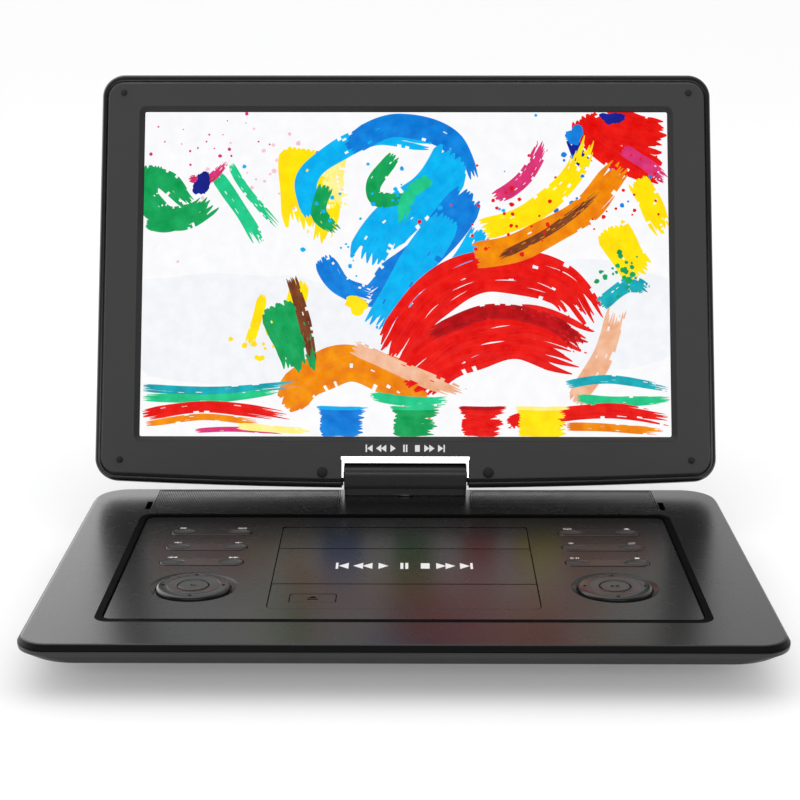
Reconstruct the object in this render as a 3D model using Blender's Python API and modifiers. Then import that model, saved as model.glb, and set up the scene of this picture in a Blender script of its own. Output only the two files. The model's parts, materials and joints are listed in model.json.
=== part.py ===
"""Portable DVD player with a tilting and swivelling screen lid.

X runs to the right, Y away from the front and Z up. The origin is on the ground, at the
centre of the open object's footprint. Dimensions are in millimetres, and the mesh builders
turn them into metres. The lid is modelled upright in its own frame, whose origin is on the
tilt axis, and an empty leans that frame back.
"""
import math

import bmesh
import bpy
from mathutils import Matrix

MM = 0.001
GAP = 0.3                       # clearance between touching pieces
ARC_STEPS = 6                   # segments round each corner of a rounded outline

# ---- Base case ----
BASE_WIDTH = 354.0
BASE_DEPTH = 246.0
TOP_Z = 27.0                    # flat top
TOP_INSET = 2.0                 # the top cover's chamfer leans in by this much
COVER_EDGE_Z = 24.3             # lower edge of the top cover
RIM_Z = 24.0                    # rim of the lower shell
BAND_Z = 21.7                   # crease in the side band
FRONT_LIP_Z = 18.0              # lower edge of the side band at the front
REAR_LIP_Z = 11.0               # and at the rear
FLOOR_Z = 2.5                   # flat underside
FLOOR_INSET = {"sides": 16.0, "front": 65.0, "rear": 8.0}
WALL = 2.0
CORNER = {"front": 16.0, "rear": 20.0, "lip": 28.0}
HINGE_Y = 75.0
BASE_REAR = HINGE_Y + 8.7
BASE_FRONT = BASE_REAR - BASE_DEPTH
TOP_FRONT = BASE_FRONT + TOP_INSET   # lengths named BEHIND count backwards from here

# ---- Lid and hinge ----
LID_LEAN = 20.6                 # degrees back from upright
LID_THICKNESS = 14.8
LID_HALF_WIDTH = 177.0
LID_TOP = 234.8                 # top edge, along the lid from the tilt axis
LID_CHIN = -6.3                 # lowest point of the bowed lower edge
LID_BOW = 3.8                   # the lower edge rises by this much at the sides
LID_CORNER = 13.0
EDGE_INSET = 4.5                # the face's edge sits this far in from the outline
DISPLAY_HALF_WIDTH = 151.7
DISPLAY_SPAN = (22.7, 212.2)
DISPLAY_SINK = 2.5              # depth of the screen behind the face
SPLIT = 0.15                    # half the gap between the bezel and the rear cover
NOTCH_HALF_WIDTH = 36.3
NOTCH_TOP = 9.7
HINGE_Z = TOP_Z + 9.4
HOUSING_HALF_WIDTH = 34.8
HOUSING_RADIUS = 7.3
SHAFT_RADIUS = 3.0
POST_RADIUS = 4.0

# ---- Control panel, disc door and disc drive ----
PANEL_HALF_WIDTH = 141.4
PANEL_BEHIND = (33.3, 191.8)
PANEL_Z = (24.75, 25.95)
RECESS_HALF_WIDTH = 145.0
RECESS_BEHIND = (30.6, 195.5)
LEDGE_HALF_WIDTH = 147.5
LEDGE_BEHIND = (28.0, 198.0)
LEDGE_Z = (22.9, 24.4)
OPENING_HALF_WIDTH = 138.5      # opening in the ledge for what hangs under the panel
OPENING_BEHIND = (36.0, 189.0)
THROUGH_Z = (20.0, 30.0)        # cutters this tall go right through the top of the case
CUP_Z = (21.95, 22.95)          # floor of the cups under the keys
DOOR_HALF_WIDTH = 65.5
DOOR_BEHIND = (48.9, 173.8)
DOOR_CORNER = {"front": 4.0, "rear": 2.0}
DOOR_GROOVES_BEHIND = (83.8, 138.3)
DOOR_HINGE_Y = TOP_FRONT + DOOR_BEHIND[1] - 1.5
DOOR_HINGE_Z = 24.0
BUTTON_X = (-55.2, -33.0)
BUTTON_BEHIND = (57.9, 69.2)
DISC_Y = TOP_FRONT + (DOOR_BEHIND[0] + DOOR_BEHIND[1]) / 2
WELL_RADIUS = 61.0
WELL_FLOOR_Z = 18.5
DECK_Z = (17.0, 22.4)
DECK_HALF_WIDTH = 72.0
TURNTABLE_RADIUS = 14.5
RAIL_X = 22.0
RAIL_Z = 13.5
SLED_Y = 24.0                   # the lens starts this far behind the spindle
SCREW_X = -13.0                 # lead screw
SCREW_Z = 8.0

# ---- Keys ----
KEYS_X = 103.7
ROCKERS_BEHIND = (164.5, 140.0, 116.0)
ROCKER_LENGTH = 43.6
ROCKER_WIDTH = 11.5
ROCKER_PIVOT_Z = 24.3
DPAD_BEHIND = 79.3
DISH_RADIUS = 21.6
DPAD_RADIUS = 18.3
DPAD_BUTTON_RADIUS = 7.45
DPAD_RING_Z = (24.0, 27.0)
DPAD_BUTTON_Z = (24.75, 26.95)
DPAD_PIVOT_Z = 23.3

# ---- Other places on the base ----
GRILLE_X = (37.0, 141.0)
GRILLE_BEHIND = (206.0, 240.0)
GRILLE_Z = (25.2, 26.8)
SPEAKER_X = 92.0
SLOT_X = (141.9, 144.9)
SLOT_BEHIND = (202.9, 216.9)
BOSS_X = 152.0
BOSS_Y = (-70.0, 50.0)
FOOT_X = 140.0
FOOT_Y = (-84.0, 62.0)
FOOT_RADIUS = 8.0
PORT_Z = 17.4
PORT_X = (163.5, 176.2)         # inner end and mouth of the ports in the right side
USB = {"name": "usb_socket", "y": 44.0, "width": 15.6, "height": 7.6}
CARD = {"name": "card_reader", "y": 14.0, "width": 28.0, "height": 4.6}
ROUND_PORTS = (("headphone_jack", -12.0, 1.8), ("av_jack", -24.0, 1.8), ("dc_jack", -38.0, 2.9))
ROUND_PORT_RADIUS = 4.0
SWITCH_Y = -60.5                # power switch when off
SWITCH_TRAVEL = 5.0

# ---- Colours, roughness and metallic values ----
LOOKS = {
    "lower_shell": ((0.040, 0.040, 0.040), 0.55, 0.0),
    "top_cover": ((0.012, 0.012, 0.012), 0.25, 0.0),
    "control_panel": ((0.012, 0.012, 0.012), 0.25, 0.0),
    "disc_door": ((0.012, 0.012, 0.012), 0.25, 0.0),
    "keys": ((0.014, 0.014, 0.014), 0.28, 0.0),
    "lid_bezel": ((0.050, 0.050, 0.050), 0.55, 0.0),
    "lid_rear_cover": ((0.012, 0.012, 0.012), 0.30, 0.0),
    "lcd_panel": ((0.80, 0.82, 0.82), 0.20, 0.0),
    "chrome_trim": ((0.85, 0.85, 0.86), 0.08, 1.0),
    "hinge_housing": ((0.020, 0.020, 0.020), 0.35, 0.0),
    "steel": ((0.55, 0.55, 0.56), 0.35, 1.0),
    "rubber": ((0.015, 0.015, 0.015), 0.80, 0.0),
    "mechanism": ((0.030, 0.030, 0.032), 0.60, 0.0),
    "board": ((0.010, 0.080, 0.030), 0.45, 0.0),
    "battery": ((0.020, 0.030, 0.070), 0.50, 0.0),
}


# ---- Scene and materials ----
def empty_scene():
    for obj in list(bpy.data.objects):
        bpy.data.objects.remove(obj, do_unlink=True)


def new_collection(name):
    collection = bpy.data.collections.new(name)
    bpy.context.scene.collection.children.link(collection)
    return collection


def material_for(name, look):
    colour, roughness, metallic = LOOKS[look]
    material = bpy.data.materials.new(name)
    material.use_nodes = True
    shader = material.node_tree.nodes["Principled BSDF"]
    shader.inputs["Base Color"].default_value = (*colour, 1.0)
    shader.inputs["Roughness"].default_value = roughness
    shader.inputs["Metallic"].default_value = metallic
    return material


# ---- Mesh builders: millimetres in, metres out ----
def behind(distance):
    """Y of a place that far behind the front edge of the flat top."""
    return TOP_FRONT + distance


def as_object(name, bm, parent=None):
    bmesh.ops.scale(bm, vec=(MM, MM, MM), verts=bm.verts)
    bmesh.ops.recalc_face_normals(bm, faces=bm.faces)
    mesh = bpy.data.meshes.new(name)
    bm.to_mesh(mesh)
    bm.free()
    obj = bpy.data.objects.new(name, mesh)
    obj.parent = parent
    return obj


def box(name, x, y, z, radius=0.0, along="z", steps=4, parent=None):
    """A box from its three ranges, with the four edges along one axis rounded."""
    bm = bmesh.new()
    bmesh.ops.create_cube(bm, size=1.0)
    bmesh.ops.scale(bm, vec=[high - low for low, high in (x, y, z)], verts=bm.verts)
    bmesh.ops.translate(bm, vec=[(low + high) / 2 for low, high in (x, y, z)], verts=bm.verts)
    if radius:
        axis = "xyz".index(along)
        edges = [e for e in bm.edges if abs(e.verts[0].co[axis] - e.verts[1].co[axis]) > GAP]
        bmesh.ops.bevel(bm, geom=edges, offset=radius, segments=steps, profile=0.5, affect="EDGES")
    return as_object(name, bm, parent)


def centred(middle, length):
    return (middle - length / 2, middle + length / 2)


def cylinder(name, radius, centre, length, axis="z", sides=32, parent=None):
    bm = bmesh.new()
    bmesh.ops.create_cone(bm, cap_ends=True, segments=sides, radius1=radius, radius2=radius, depth=length)
    if axis == "x":
        bmesh.ops.rotate(bm, matrix=Matrix.Rotation(math.pi / 2, 3, "Y"), verts=bm.verts)
    if axis == "y":
        bmesh.ops.rotate(bm, matrix=Matrix.Rotation(math.pi / 2, 3, "X"), verts=bm.verts)
    bmesh.ops.translate(bm, vec=centre, verts=bm.verts)
    return as_object(name, bm, parent)


def turned(name, profile, centre, sides=32):
    """A solid of revolution about Z. The profile of (radius, height) runs from top to bottom."""
    bm = bmesh.new()
    verts = [bm.verts.new((radius * MM, 0.0, height * MM)) for radius, height in profile]
    for upper, lower in zip(verts, verts[1:]):
        bm.edges.new((upper, lower))
    mesh = bpy.data.meshes.new(name)
    bm.to_mesh(mesh)
    bm.free()
    obj = bpy.data.objects.new(name, mesh)
    obj.location = (centre[0] * MM, centre[1] * MM, 0.0)
    screw = obj.modifiers.new("Turn", "SCREW")
    screw.steps = sides
    screw.render_steps = sides
    screw.use_merge_vertices = True
    screw.merge_threshold = 1e-5
    return obj


def loft(name, rings, parent=None):
    """Skin a chain of rings of points, which all have the same count, and cap both ends."""
    bm = bmesh.new()
    loops = [[bm.verts.new(point) for point in ring] for ring in rings]
    for first, second in zip(loops, loops[1:]):
        for i in range(len(first)):
            j = (i + 1) % len(first)
            bm.faces.new((first[i], first[j], second[j], second[i]))
    bm.faces.new(loops[0])
    bm.faces.new(loops[-1])
    return as_object(name, bm, parent)


def arc(centre_x, centre_y, radius, start):
    """Points of a quarter circle that starts at an angle in degrees."""
    turns = [math.radians(start + 90.0 * step / ARC_STEPS) for step in range(ARC_STEPS + 1)]
    return [(centre_x + radius * math.cos(t), centre_y + radius * math.sin(t)) for t in turns]


def outline(half_width, front, rear, front_radius, rear_radius):
    """A rounded rectangle seen from above, as (x, y) points."""
    points = arc(half_width - rear_radius, rear - rear_radius, rear_radius, 0)
    points += arc(rear_radius - half_width, rear - rear_radius, rear_radius, 90)
    points += arc(front_radius - half_width, front + front_radius, front_radius, 180)
    points += arc(half_width - front_radius, front + front_radius, front_radius, 270)
    return points


def base_ring(height, inset, extra_radius=0.0):
    """The base's outline, moved in by an inset, at a height or at a height that varies with y."""
    front_radius = CORNER["front"] + extra_radius - inset
    rear_radius = CORNER["rear"] + extra_radius - inset
    points = outline(BASE_WIDTH / 2 - inset, BASE_FRONT + inset, BASE_REAR - inset, front_radius, rear_radius)
    return [(x, y, height(y) if callable(height) else height) for x, y in points]


def floor_ring(height, inset):
    points = outline(
        BASE_WIDTH / 2 - FLOOR_INSET["sides"] - inset,
        BASE_FRONT + FLOOR_INSET["front"] + inset,
        BASE_REAR - FLOOR_INSET["rear"] - inset,
        CORNER["lip"],
        CORNER["lip"],
    )
    return [(x, y, height) for x, y in points]


def lid_ring(forward, inset, floor=None):
    """The lid's outline in its own frame: bowed below, or cut straight at a given floor."""
    half_width = LID_HALF_WIDTH - inset
    top = LID_TOP - inset * 1.4
    radius = LID_CORNER - inset
    points = arc(half_width - radius, top - radius, radius, 0)
    points += arc(radius - half_width, top - radius, radius, 90)
    lowest = LID_CHIN + inset if floor is None else floor
    bow = LID_BOW if floor is None else 0.0
    points += arc(radius - half_width, lowest + bow + radius, radius, 180)
    bow_steps = 8
    run = half_width - radius
    for step in range(1, bow_steps):
        x = -run + 2 * run * step / bow_steps
        points.append((x, lowest + bow * (x / run) ** 2))
    points += arc(half_width - radius, lowest + bow + radius, radius, 270)
    return [(x, -forward, along) for x, along in points]


# ---- Joining and cutting ----
class Workshop:
    """Keeps the parts and the cutting tools in their two collections."""

    def __init__(self):
        self.parts = new_collection("portable_dvd_player")
        self.tools = new_collection("cutters")

    def add(self, obj, look, origin=None):
        """File an object as a part, with its material and its origin at a joint."""
        self.parts.objects.link(obj)
        obj.data.materials.append(material_for(obj.name, look))
        if origin is not None:
            shift = [-value * MM for value in origin]
            obj.data.transform(Matrix.Translation(shift))
            obj.location = [value * MM for value in origin]
        return obj

    def tool(self, obj):
        self.tools.objects.link(obj)
        obj.hide_render = True
        obj.display_type = "WIRE"
        return obj

    def cut(self, obj, *cutters):
        self.combine(obj, "DIFFERENCE", cutters)

    def join(self, obj, *pieces):
        self.combine(obj, "UNION", pieces)

    def combine(self, obj, operation, others):
        for other in others:
            modifier = obj.modifiers.new(other.name, "BOOLEAN")
            modifier.operation = operation
            modifier.object = self.tool(other)


# ---- Base case ----
def lip_height(y):
    """The side band's lower edge drops towards the rear."""
    share = min(max((y - BASE_FRONT) / BASE_DEPTH, 0.0), 1.0)
    return FRONT_LIP_Z + (REAR_LIP_Z - FRONT_LIP_Z) * share


def make_lower_shell(shop):
    lip_radius = CORNER["lip"] - CORNER["front"]
    rings = [
        floor_ring(FLOOR_Z + WALL, WALL),
        base_ring(lambda y: lip_height(y) + WALL, 1.2 + WALL, lip_radius),
        base_ring(BAND_Z, 0.4 + WALL),
        base_ring(RIM_Z, WALL),
        base_ring(RIM_Z, 0.0),
        base_ring(BAND_Z, 0.4),
        base_ring(lip_height, 1.2, lip_radius),
        floor_ring(FLOOR_Z, 0.0),
    ]
    shell = shop.add(loft("lower_shell", rings), "lower_shell")
    for side in (-1, 1):
        for y in BOSS_Y:
            place = (side * BOSS_X, y)
            shop.join(shell, cylinder("boss", 4.5, (*place, 13.65), 19.7, sides=20))
            shop.cut(shell, cylinder("bore", 1.8, (*place, 11.0), 18.0, sides=16))
            shop.cut(shell, cylinder("counterbore", 3.3, (*place, 3.65), 4.3, sides=20))
    cut_port_openings(shop, shell)
    return shell


def cut_port_openings(shop, shell):
    """Openings in the right side wall, a little larger than what they hold."""
    through = (PORT_X[0] - 4.0, BASE_WIDTH)
    for port in (USB, CARD):
        y = centred(port["y"], port["width"] + 2 * GAP)
        z = centred(PORT_Z, port["height"] + 2 * GAP)
        shop.cut(shell, box("port_opening", through, y, z))
    for name, y, _ in ROUND_PORTS:
        hole = cylinder(name + "_opening", ROUND_PORT_RADIUS + GAP, (sum(through) / 2, y, PORT_Z),
                        through[1] - through[0], axis="x", sides=24)
        shop.cut(shell, hole)
    switch_y = centred(SWITCH_Y + SWITCH_TRAVEL / 2, SWITCH_TRAVEL + 5.0)
    shop.cut(shell, box("switch_opening", through, switch_y, centred(PORT_Z, 3.4)))


def make_top_cover(shop):
    rings = [base_ring(COVER_EDGE_Z, 0.0), base_ring(TOP_Z, TOP_INSET)]
    cover = shop.add(loft("top_cover", rings), "top_cover")
    ledge_y = [behind(value) for value in LEDGE_BEHIND]
    ledge_z = (LEDGE_Z[0], COVER_EDGE_Z + GAP)
    shop.join(cover, box("ledge", (-LEDGE_HALF_WIDTH, LEDGE_HALF_WIDTH), ledge_y, ledge_z, 6.0))
    recess = [
        [(x, y, z) for x, y in outline(half, behind(front), behind(rear), radius, radius)]
        for half, front, rear, radius, z in (
            (PANEL_HALF_WIDTH + GAP, PANEL_BEHIND[0] - GAP, PANEL_BEHIND[1] + GAP, 5.0, LEDGE_Z[1]),
            (PANEL_HALF_WIDTH + GAP, PANEL_BEHIND[0] - GAP, PANEL_BEHIND[1] + GAP, 5.0, PANEL_Z[0]),
            (RECESS_HALF_WIDTH, RECESS_BEHIND[0], RECESS_BEHIND[1], 7.0, TOP_Z + GAP),
        )
    ]
    shop.cut(cover, loft("recess", recess))
    opening_y = [behind(value) for value in OPENING_BEHIND]
    shop.cut(cover, box("opening", (-OPENING_HALF_WIDTH, OPENING_HALF_WIDTH), opening_y, THROUGH_Z, 4.0))
    for side in (-1, 1):
        slot_x = sorted(side * value for value in SLOT_X)
        shop.cut(cover, box("slot", slot_x, [behind(value) for value in SLOT_BEHIND], THROUGH_Z))
        seat_x = sorted(side * value for value in GRILLE_X)
        seat_y = [behind(value) for value in GRILLE_BEHIND]
        shop.cut(cover, box("seat", seat_x, seat_y, (GRILLE_Z[0] - GAP, THROUGH_Z[1])))
        hole_x = sorted(side * value for value in (GRILLE_X[0] + 3.0, GRILLE_X[1] - 3.0))
        hole_y = (behind(GRILLE_BEHIND[0] + 3.0), behind(GRILLE_BEHIND[1] - 3.0))
        shop.cut(cover, box("sound_hole", hole_x, hole_y, THROUGH_Z))
    shop.cut(cover, cylinder("post_hole", POST_RADIUS + 0.4, (0.0, HINGE_Y, TOP_Z), 12.0))


def make_grilles(shop):
    for side, word in ((-1, "left"), (1, "right")):
        x = sorted(side * value for value in (GRILLE_X[0] + GAP, GRILLE_X[1] - GAP))
        y = (behind(GRILLE_BEHIND[0] + GAP), behind(GRILLE_BEHIND[1] - GAP))
        shop.add(box("speaker_grille_" + word, x, y, GRILLE_Z), "control_panel")


def make_control_panel(shop):
    y = (behind(PANEL_BEHIND[0]), behind(PANEL_BEHIND[1]))
    panel = shop.add(
        box("control_panel", (-PANEL_HALF_WIDTH, PANEL_HALF_WIDTH), y, PANEL_Z, 5.0), "control_panel"
    )
    overlap = PANEL_Z[0] + GAP
    above = PANEL_Z[1] + 1.0
    for side in (-1, 1):
        x = side * KEYS_X
        for distance in ROCKERS_BEHIND:
            cup_y = centred(behind(distance), ROCKER_WIDTH + 2 * WALL)
            cup_x = centred(x, ROCKER_LENGTH + 2 * WALL)
            shop.join(panel, box("rocker_cup", cup_x, cup_y, (CUP_Z[0], overlap), 7.7))
            seat_x = centred(x, ROCKER_LENGTH)
            seat_y = centred(behind(distance), ROCKER_WIDTH)
            shop.cut(panel, box("rocker_seat", seat_x, seat_y, (CUP_Z[1], above), 5.7))
        place = (x, behind(DPAD_BEHIND))
        cup_middle = (CUP_Z[0] + overlap) / 2
        cup = cylinder("dpad_cup", DISH_RADIUS + 1.6, (*place, cup_middle), overlap - CUP_Z[0], sides=40)
        shop.join(panel, cup)
        dish_middle = (CUP_Z[1] + above) / 2
        shop.cut(panel, cylinder("dish", DISH_RADIUS, (*place, dish_middle), above - CUP_Z[1], sides=48))
        shop.cut(panel, cylinder("dpad_hole", 8.2, (*place, CUP_Z[0]), 6.0, sides=24))
    # The opening's rear corners are tighter than the door's, which dip behind the hinge as it swings.
    opening = outline(
        DOOR_HALF_WIDTH + 0.4, behind(DOOR_BEHIND[0] - 0.4), behind(DOOR_BEHIND[1] + 0.9),
        DOOR_CORNER["front"] + GAP, DOOR_CORNER["rear"] - 1.0,
    )
    shop.cut(panel, loft("door_opening", [[(x, y, z) for x, y in opening] for z in THROUGH_Z]))


# ---- Disc door and drive ----
def make_disc_door(shop):
    edge = outline(
        DOOR_HALF_WIDTH, behind(DOOR_BEHIND[0]), behind(DOOR_BEHIND[1]),
        DOOR_CORNER["front"], DOOR_CORNER["rear"],
    )
    door = loft("disc_door", [[(x, y, z) for x, y in edge] for z in PANEL_Z])
    shop.add(door, "disc_door", (0.0, DOOR_HINGE_Y, DOOR_HINGE_Z))
    for distance in DOOR_GROOVES_BEHIND:
        groove_y = centred(behind(distance), 0.8)
        groove_x = (-DOOR_HALF_WIDTH - WALL, DOOR_HALF_WIDTH + WALL)
        shop.cut(door, box("groove", groove_x, groove_y, (PANEL_Z[1] - 0.5, THROUGH_Z[1])))
    button_x = (BUTTON_X[0] - 0.4, BUTTON_X[1] + 0.4)
    button_y = (behind(BUTTON_BEHIND[0] - GAP), behind(BUTTON_BEHIND[1] + 0.4))
    shop.cut(door, box("button_opening", button_x, button_y, THROUGH_Z))
    for side in (-1, 1):
        centre = (side * 48.0, DOOR_HINGE_Y, DOOR_HINGE_Z)
        shop.join(door, cylinder("knuckle", 1.25, centre, 16.0, axis="x", sides=16))
    button_pivot = (sum(BUTTON_X) / 2, behind(BUTTON_BEHIND[0]), PANEL_Z[0])
    button_y = [behind(value) for value in BUTTON_BEHIND]
    shop.add(box("open_button", BUTTON_X, button_y, PANEL_Z), "disc_door", button_pivot)


def make_disc_deck(shop):
    y = (behind(DOOR_BEHIND[0] - 6.0), behind(DOOR_BEHIND[1] + 6.0))
    deck = shop.add(box("disc_deck", (-DECK_HALF_WIDTH, DECK_HALF_WIDTH), y, DECK_Z, 3.0), "mechanism")
    shop.cut(deck, cylinder("disc_well", WELL_RADIUS, (0.0, DISC_Y, WELL_FLOOR_Z + 5.0), 10.0, sides=56))
    shop.cut(deck, cylinder("hub_hole", TURNTABLE_RADIUS + 1.0, (0.0, DISC_Y, DECK_Z[0]), 8.0, sides=32))
    shop.cut(deck, box("lens_window", (-7.5, 7.5), (DISC_Y + 10.0, DISC_Y + 60.0), (15.0, 20.0)))
    finger_x = (45.0, 66.0)
    for side in (-1, 1):
        x = sorted(side * value for value in finger_x)
        shop.cut(deck, box("finger_scoop", x, centred(DISC_Y, 24.0), (WELL_FLOOR_Z, 30.0), 5.0))


def make_drive(shop):
    shop.add(cylinder("spindle_motor", 12.0, (0.0, DISC_Y, 14.6), 8.0), "steel")
    hub = [(0, 24.0), (5.6, 24.0), (7.2, 22.6), (7.2, 21.0), (TURNTABLE_RADIUS, 21.0),
           (TURNTABLE_RADIUS, 19.5), (4.0, 19.5), (4.0, 18.9), (0, 18.9)]
    shop.add(turned("spindle_hub", hub, (0.0, DISC_Y)), "mechanism")

    lens_y = DISC_Y + SLED_Y
    rail_y = (lens_y - 12.5, lens_y + 50.0)
    sled = shop.add(
        box("pickup_sled", (-25.5, 25.5), centred(lens_y, 20.0), (10.5, 16.5), 3.0),
        "mechanism", (0.0, lens_y, RAIL_Z),
    )
    shop.join(sled, cylinder("lens", 4.5, (0.0, lens_y, 16.8), 2.4, sides=24))
    shop.join(sled, box("nut", centred(SCREW_X, 5.0), centred(lens_y, 8.0), (9.95, 11.0)))
    for side, word in ((-1, "left"), (1, "right")):
        middle = (side * RAIL_X, sum(rail_y) / 2, RAIL_Z)
        length = rail_y[1] - rail_y[0]
        shop.cut(sled, cylinder("rail_bore", 1.8, middle, length, axis="y", sides=16))
        shop.add(cylinder("guide_rail_" + word, 1.5, middle, length, axis="y", sides=16), "steel")
    screw = cylinder("lead_screw", 1.6, (SCREW_X, sum(rail_y) / 2, SCREW_Z), rail_y[1] - rail_y[0], "y", 16)
    shop.add(screw, "steel", (SCREW_X, sum(rail_y) / 2, SCREW_Z))
    motor_y = rail_y[1] + GAP + 6.0
    shop.add(cylinder("sled_motor", 3.2, (SCREW_X, motor_y, SCREW_Z), 12.0, "y", 24), "steel")


# ---- Keys ----
def make_rockers(shop):
    for side, word in ((-1, "left"), (1, "right")):
        for number, distance in enumerate(ROCKERS_BEHIND, start=1):
            centre = (side * KEYS_X, behind(distance), ROCKER_PIVOT_Z)
            x = centred(centre[0], ROCKER_LENGTH - 0.9)
            y = centred(centre[1], ROCKER_WIDTH - 0.8)
            rocker = box(f"rocker_{word}_{number}", x, y, (ROCKER_PIVOT_Z, 26.35), 5.3)
            shop.add(rocker, "keys", centre)
            ridge = (centre[0], centre[1], ROCKER_PIVOT_Z)
            shop.join(rocker, cylinder("ridge", 1.05, ridge, ROCKER_WIDTH - 3.0, axis="y", sides=12))
            shop.cut(rocker, *rocker_dimples(centre))


def rocker_dimples(centre):
    """Spoon-shaped hollows for the fingertips, one at each end of a rocker."""
    hollows = []
    for end in (-1, 1):
        bm = bmesh.new()
        bmesh.ops.create_uvsphere(bm, u_segments=16, v_segments=8, radius=1.0)
        bmesh.ops.scale(bm, vec=(6.5, 4.6, 1.3), verts=bm.verts)
        bmesh.ops.translate(bm, vec=(centre[0] + end * 14.6, centre[1], 26.7), verts=bm.verts)
        hollows.append(as_object("dimple", bm))
    return hollows


def make_dpads(shop):
    for side, word in ((-1, "left"), (1, "right")):
        place = (side * KEYS_X, behind(DPAD_BEHIND))
        pivot = (*place, DPAD_PIVOT_Z)
        shop.add(cylinder("dpad_pivot_" + word, 7.4, (*place, 22.4), 2.3, sides=24), "mechanism", pivot)
        ring_middle = sum(DPAD_RING_Z) / 2
        ring_height = DPAD_RING_Z[1] - DPAD_RING_Z[0]
        ring = cylinder("dpad_ring_" + word, DPAD_RADIUS, (*place, ring_middle), ring_height, sides=48)
        shop.add(ring, "keys", pivot)
        hole_radius = DPAD_BUTTON_RADIUS + 0.4
        shop.cut(ring, cylinder("ring_hole", hole_radius, (*place, ring_middle), 2 * ring_height, sides=32))
        button_height = DPAD_BUTTON_Z[1] - DPAD_BUTTON_Z[0]
        middle = (*place, sum(DPAD_BUTTON_Z) / 2)
        shop.add(cylinder("dpad_centre_" + word, DPAD_BUTTON_RADIUS, middle, button_height), "keys", pivot)


# ---- Things inside the base and in its side ----
def make_boards(shop):
    board = shop.add(box("main_board", (-140.0, -80.0), (-60.0, 58.0), (8.0, 9.6), 2.0), "board")
    chips = ((-118, -20, 18, 18, 11.4), (-98, 20, 12, 20, 12.0), (-125, 40, 16, 8, 14.0))
    for x, y, width, depth, top in chips:
        shop.join(board, box("chip", centred(x, width), centred(y, depth), (9.0, top)))
    shop.add(box("battery_pack", (82.0, 140.0), (-60.0, 42.0), (5.2, 17.5), 4.0), "battery")


def make_speakers(shop):
    for side, word in ((-1, "left"), (1, "right")):
        y = (behind(GRILLE_BEHIND[0] + 4.0), behind(GRILLE_BEHIND[1] - 4.0))
        speaker = box("speaker_" + word, centred(side * SPEAKER_X, 64.0), y, (13.0, 22.6), 5.0)
        shop.add(speaker, "mechanism")
        cone = [(0.0, 24.0), (12.0, 24.0), (12.0, 22.0), (4.0, 18.0), (0.0, 19.0)]
        hollow = turned("cone", cone, (side * SPEAKER_X, sum(y) / 2), 24)
        shop.cut(speaker, hollow)


def make_ports(shop):
    for port, mouth in ((USB, (12.8, 5.0)), (CARD, (24.6, 2.2))):
        y = centred(port["y"], port["width"])
        socket = shop.add(box(port["name"], PORT_X, y, centred(PORT_Z, port["height"])), "steel")
        cavity_x = (PORT_X[0] + 1.5, PORT_X[1] + 2.0)
        shop.cut(socket, box("cavity", cavity_x, centred(port["y"], mouth[0]), centred(PORT_Z, mouth[1])))
    middle = sum(PORT_X) / 2
    length = PORT_X[1] - PORT_X[0]
    for name, y, mouth in ROUND_PORTS:
        jack = cylinder(name, ROUND_PORT_RADIUS, (middle, y, PORT_Z), length, axis="x", sides=24)
        shop.add(jack, "mechanism")
        shop.cut(jack, cylinder("mouth", mouth, (middle + 1.5, y, PORT_Z), length, axis="x", sides=20))
        if name == "dc_jack":
            pin = cylinder("centre_pin", 0.8, (middle - 1.0, y, PORT_Z), length - 3.0, axis="x", sides=12)
            shop.join(jack, pin)
    switch = box("power_switch", (170.8, 177.0), centred(SWITCH_Y, 4.0), centred(PORT_Z, 2.6))
    shop.add(switch, "keys", (174.0, SWITCH_Y, PORT_Z))
    shop.join(switch, box("switch_plate", (170.8, 172.0), centred(SWITCH_Y, 8.0), centred(PORT_Z, 2.6)))


def make_feet_and_screws(shop):
    corners = [(side, row) for row in (0, 1) for side in (-1, 1)]
    words = ("front_left", "front_right", "rear_left", "rear_right")
    for (side, row), word in zip(corners, words):
        foot_height = FLOOR_Z - GAP
        foot_centre = (side * FOOT_X, FOOT_Y[row], foot_height / 2)
        shop.add(cylinder("foot_" + word, FOOT_RADIUS, foot_centre, foot_height), "rubber")
        screw = [(0, 20.0), (1.5, 20.0), (1.5, 5.5), (3.0, 5.5), (3.0, 3.4), (1.2, 3.4), (1.2, 4.4), (0, 4.4)]
        shop.add(turned("shell_screw_" + word, screw, (side * BOSS_X, BOSS_Y[row]), 16), "steel")


# ---- Swivel, hinge and lid ----
def make_swivel(shop):
    bracket = shop.add(box("swivel_bracket", (-24.0, 24.0), (54.0, 80.2), (21.0, 23.9), 3.0), "steel")
    shop.cut(bracket, cylinder("bracket_bore", POST_RADIUS + 0.4, (0.0, HINGE_Y, 22.0), 12.0))
    post = [(0, 28.8), (8.3, 28.8), (8.3, TOP_Z + GAP), (POST_RADIUS, TOP_Z + GAP), (POST_RADIUS, 20.7),
            (5.2, 20.7), (5.2, 18.6), (0, 18.6)]
    shop.add(turned("swivel_post", post, (0.0, HINGE_Y)), "hinge_housing")
    housing = box(
        "hinge_housing", (-HOUSING_HALF_WIDTH, HOUSING_HALF_WIDTH), centred(HINGE_Y, 2 * HOUSING_RADIUS),
        centred(HINGE_Z, 2 * HOUSING_RADIUS), 5.0, along="x", steps=6,
    )
    shop.add(housing, "hinge_housing", (0.0, HINGE_Y, HINGE_Z))
    for side in (-1, 1):
        centre = (side * 34.0, HINGE_Y, HINGE_Z)
        shop.cut(housing, cylinder("shaft_bore", SHAFT_RADIUS + GAP, centre, 20.0, axis="x", sides=24))


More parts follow.
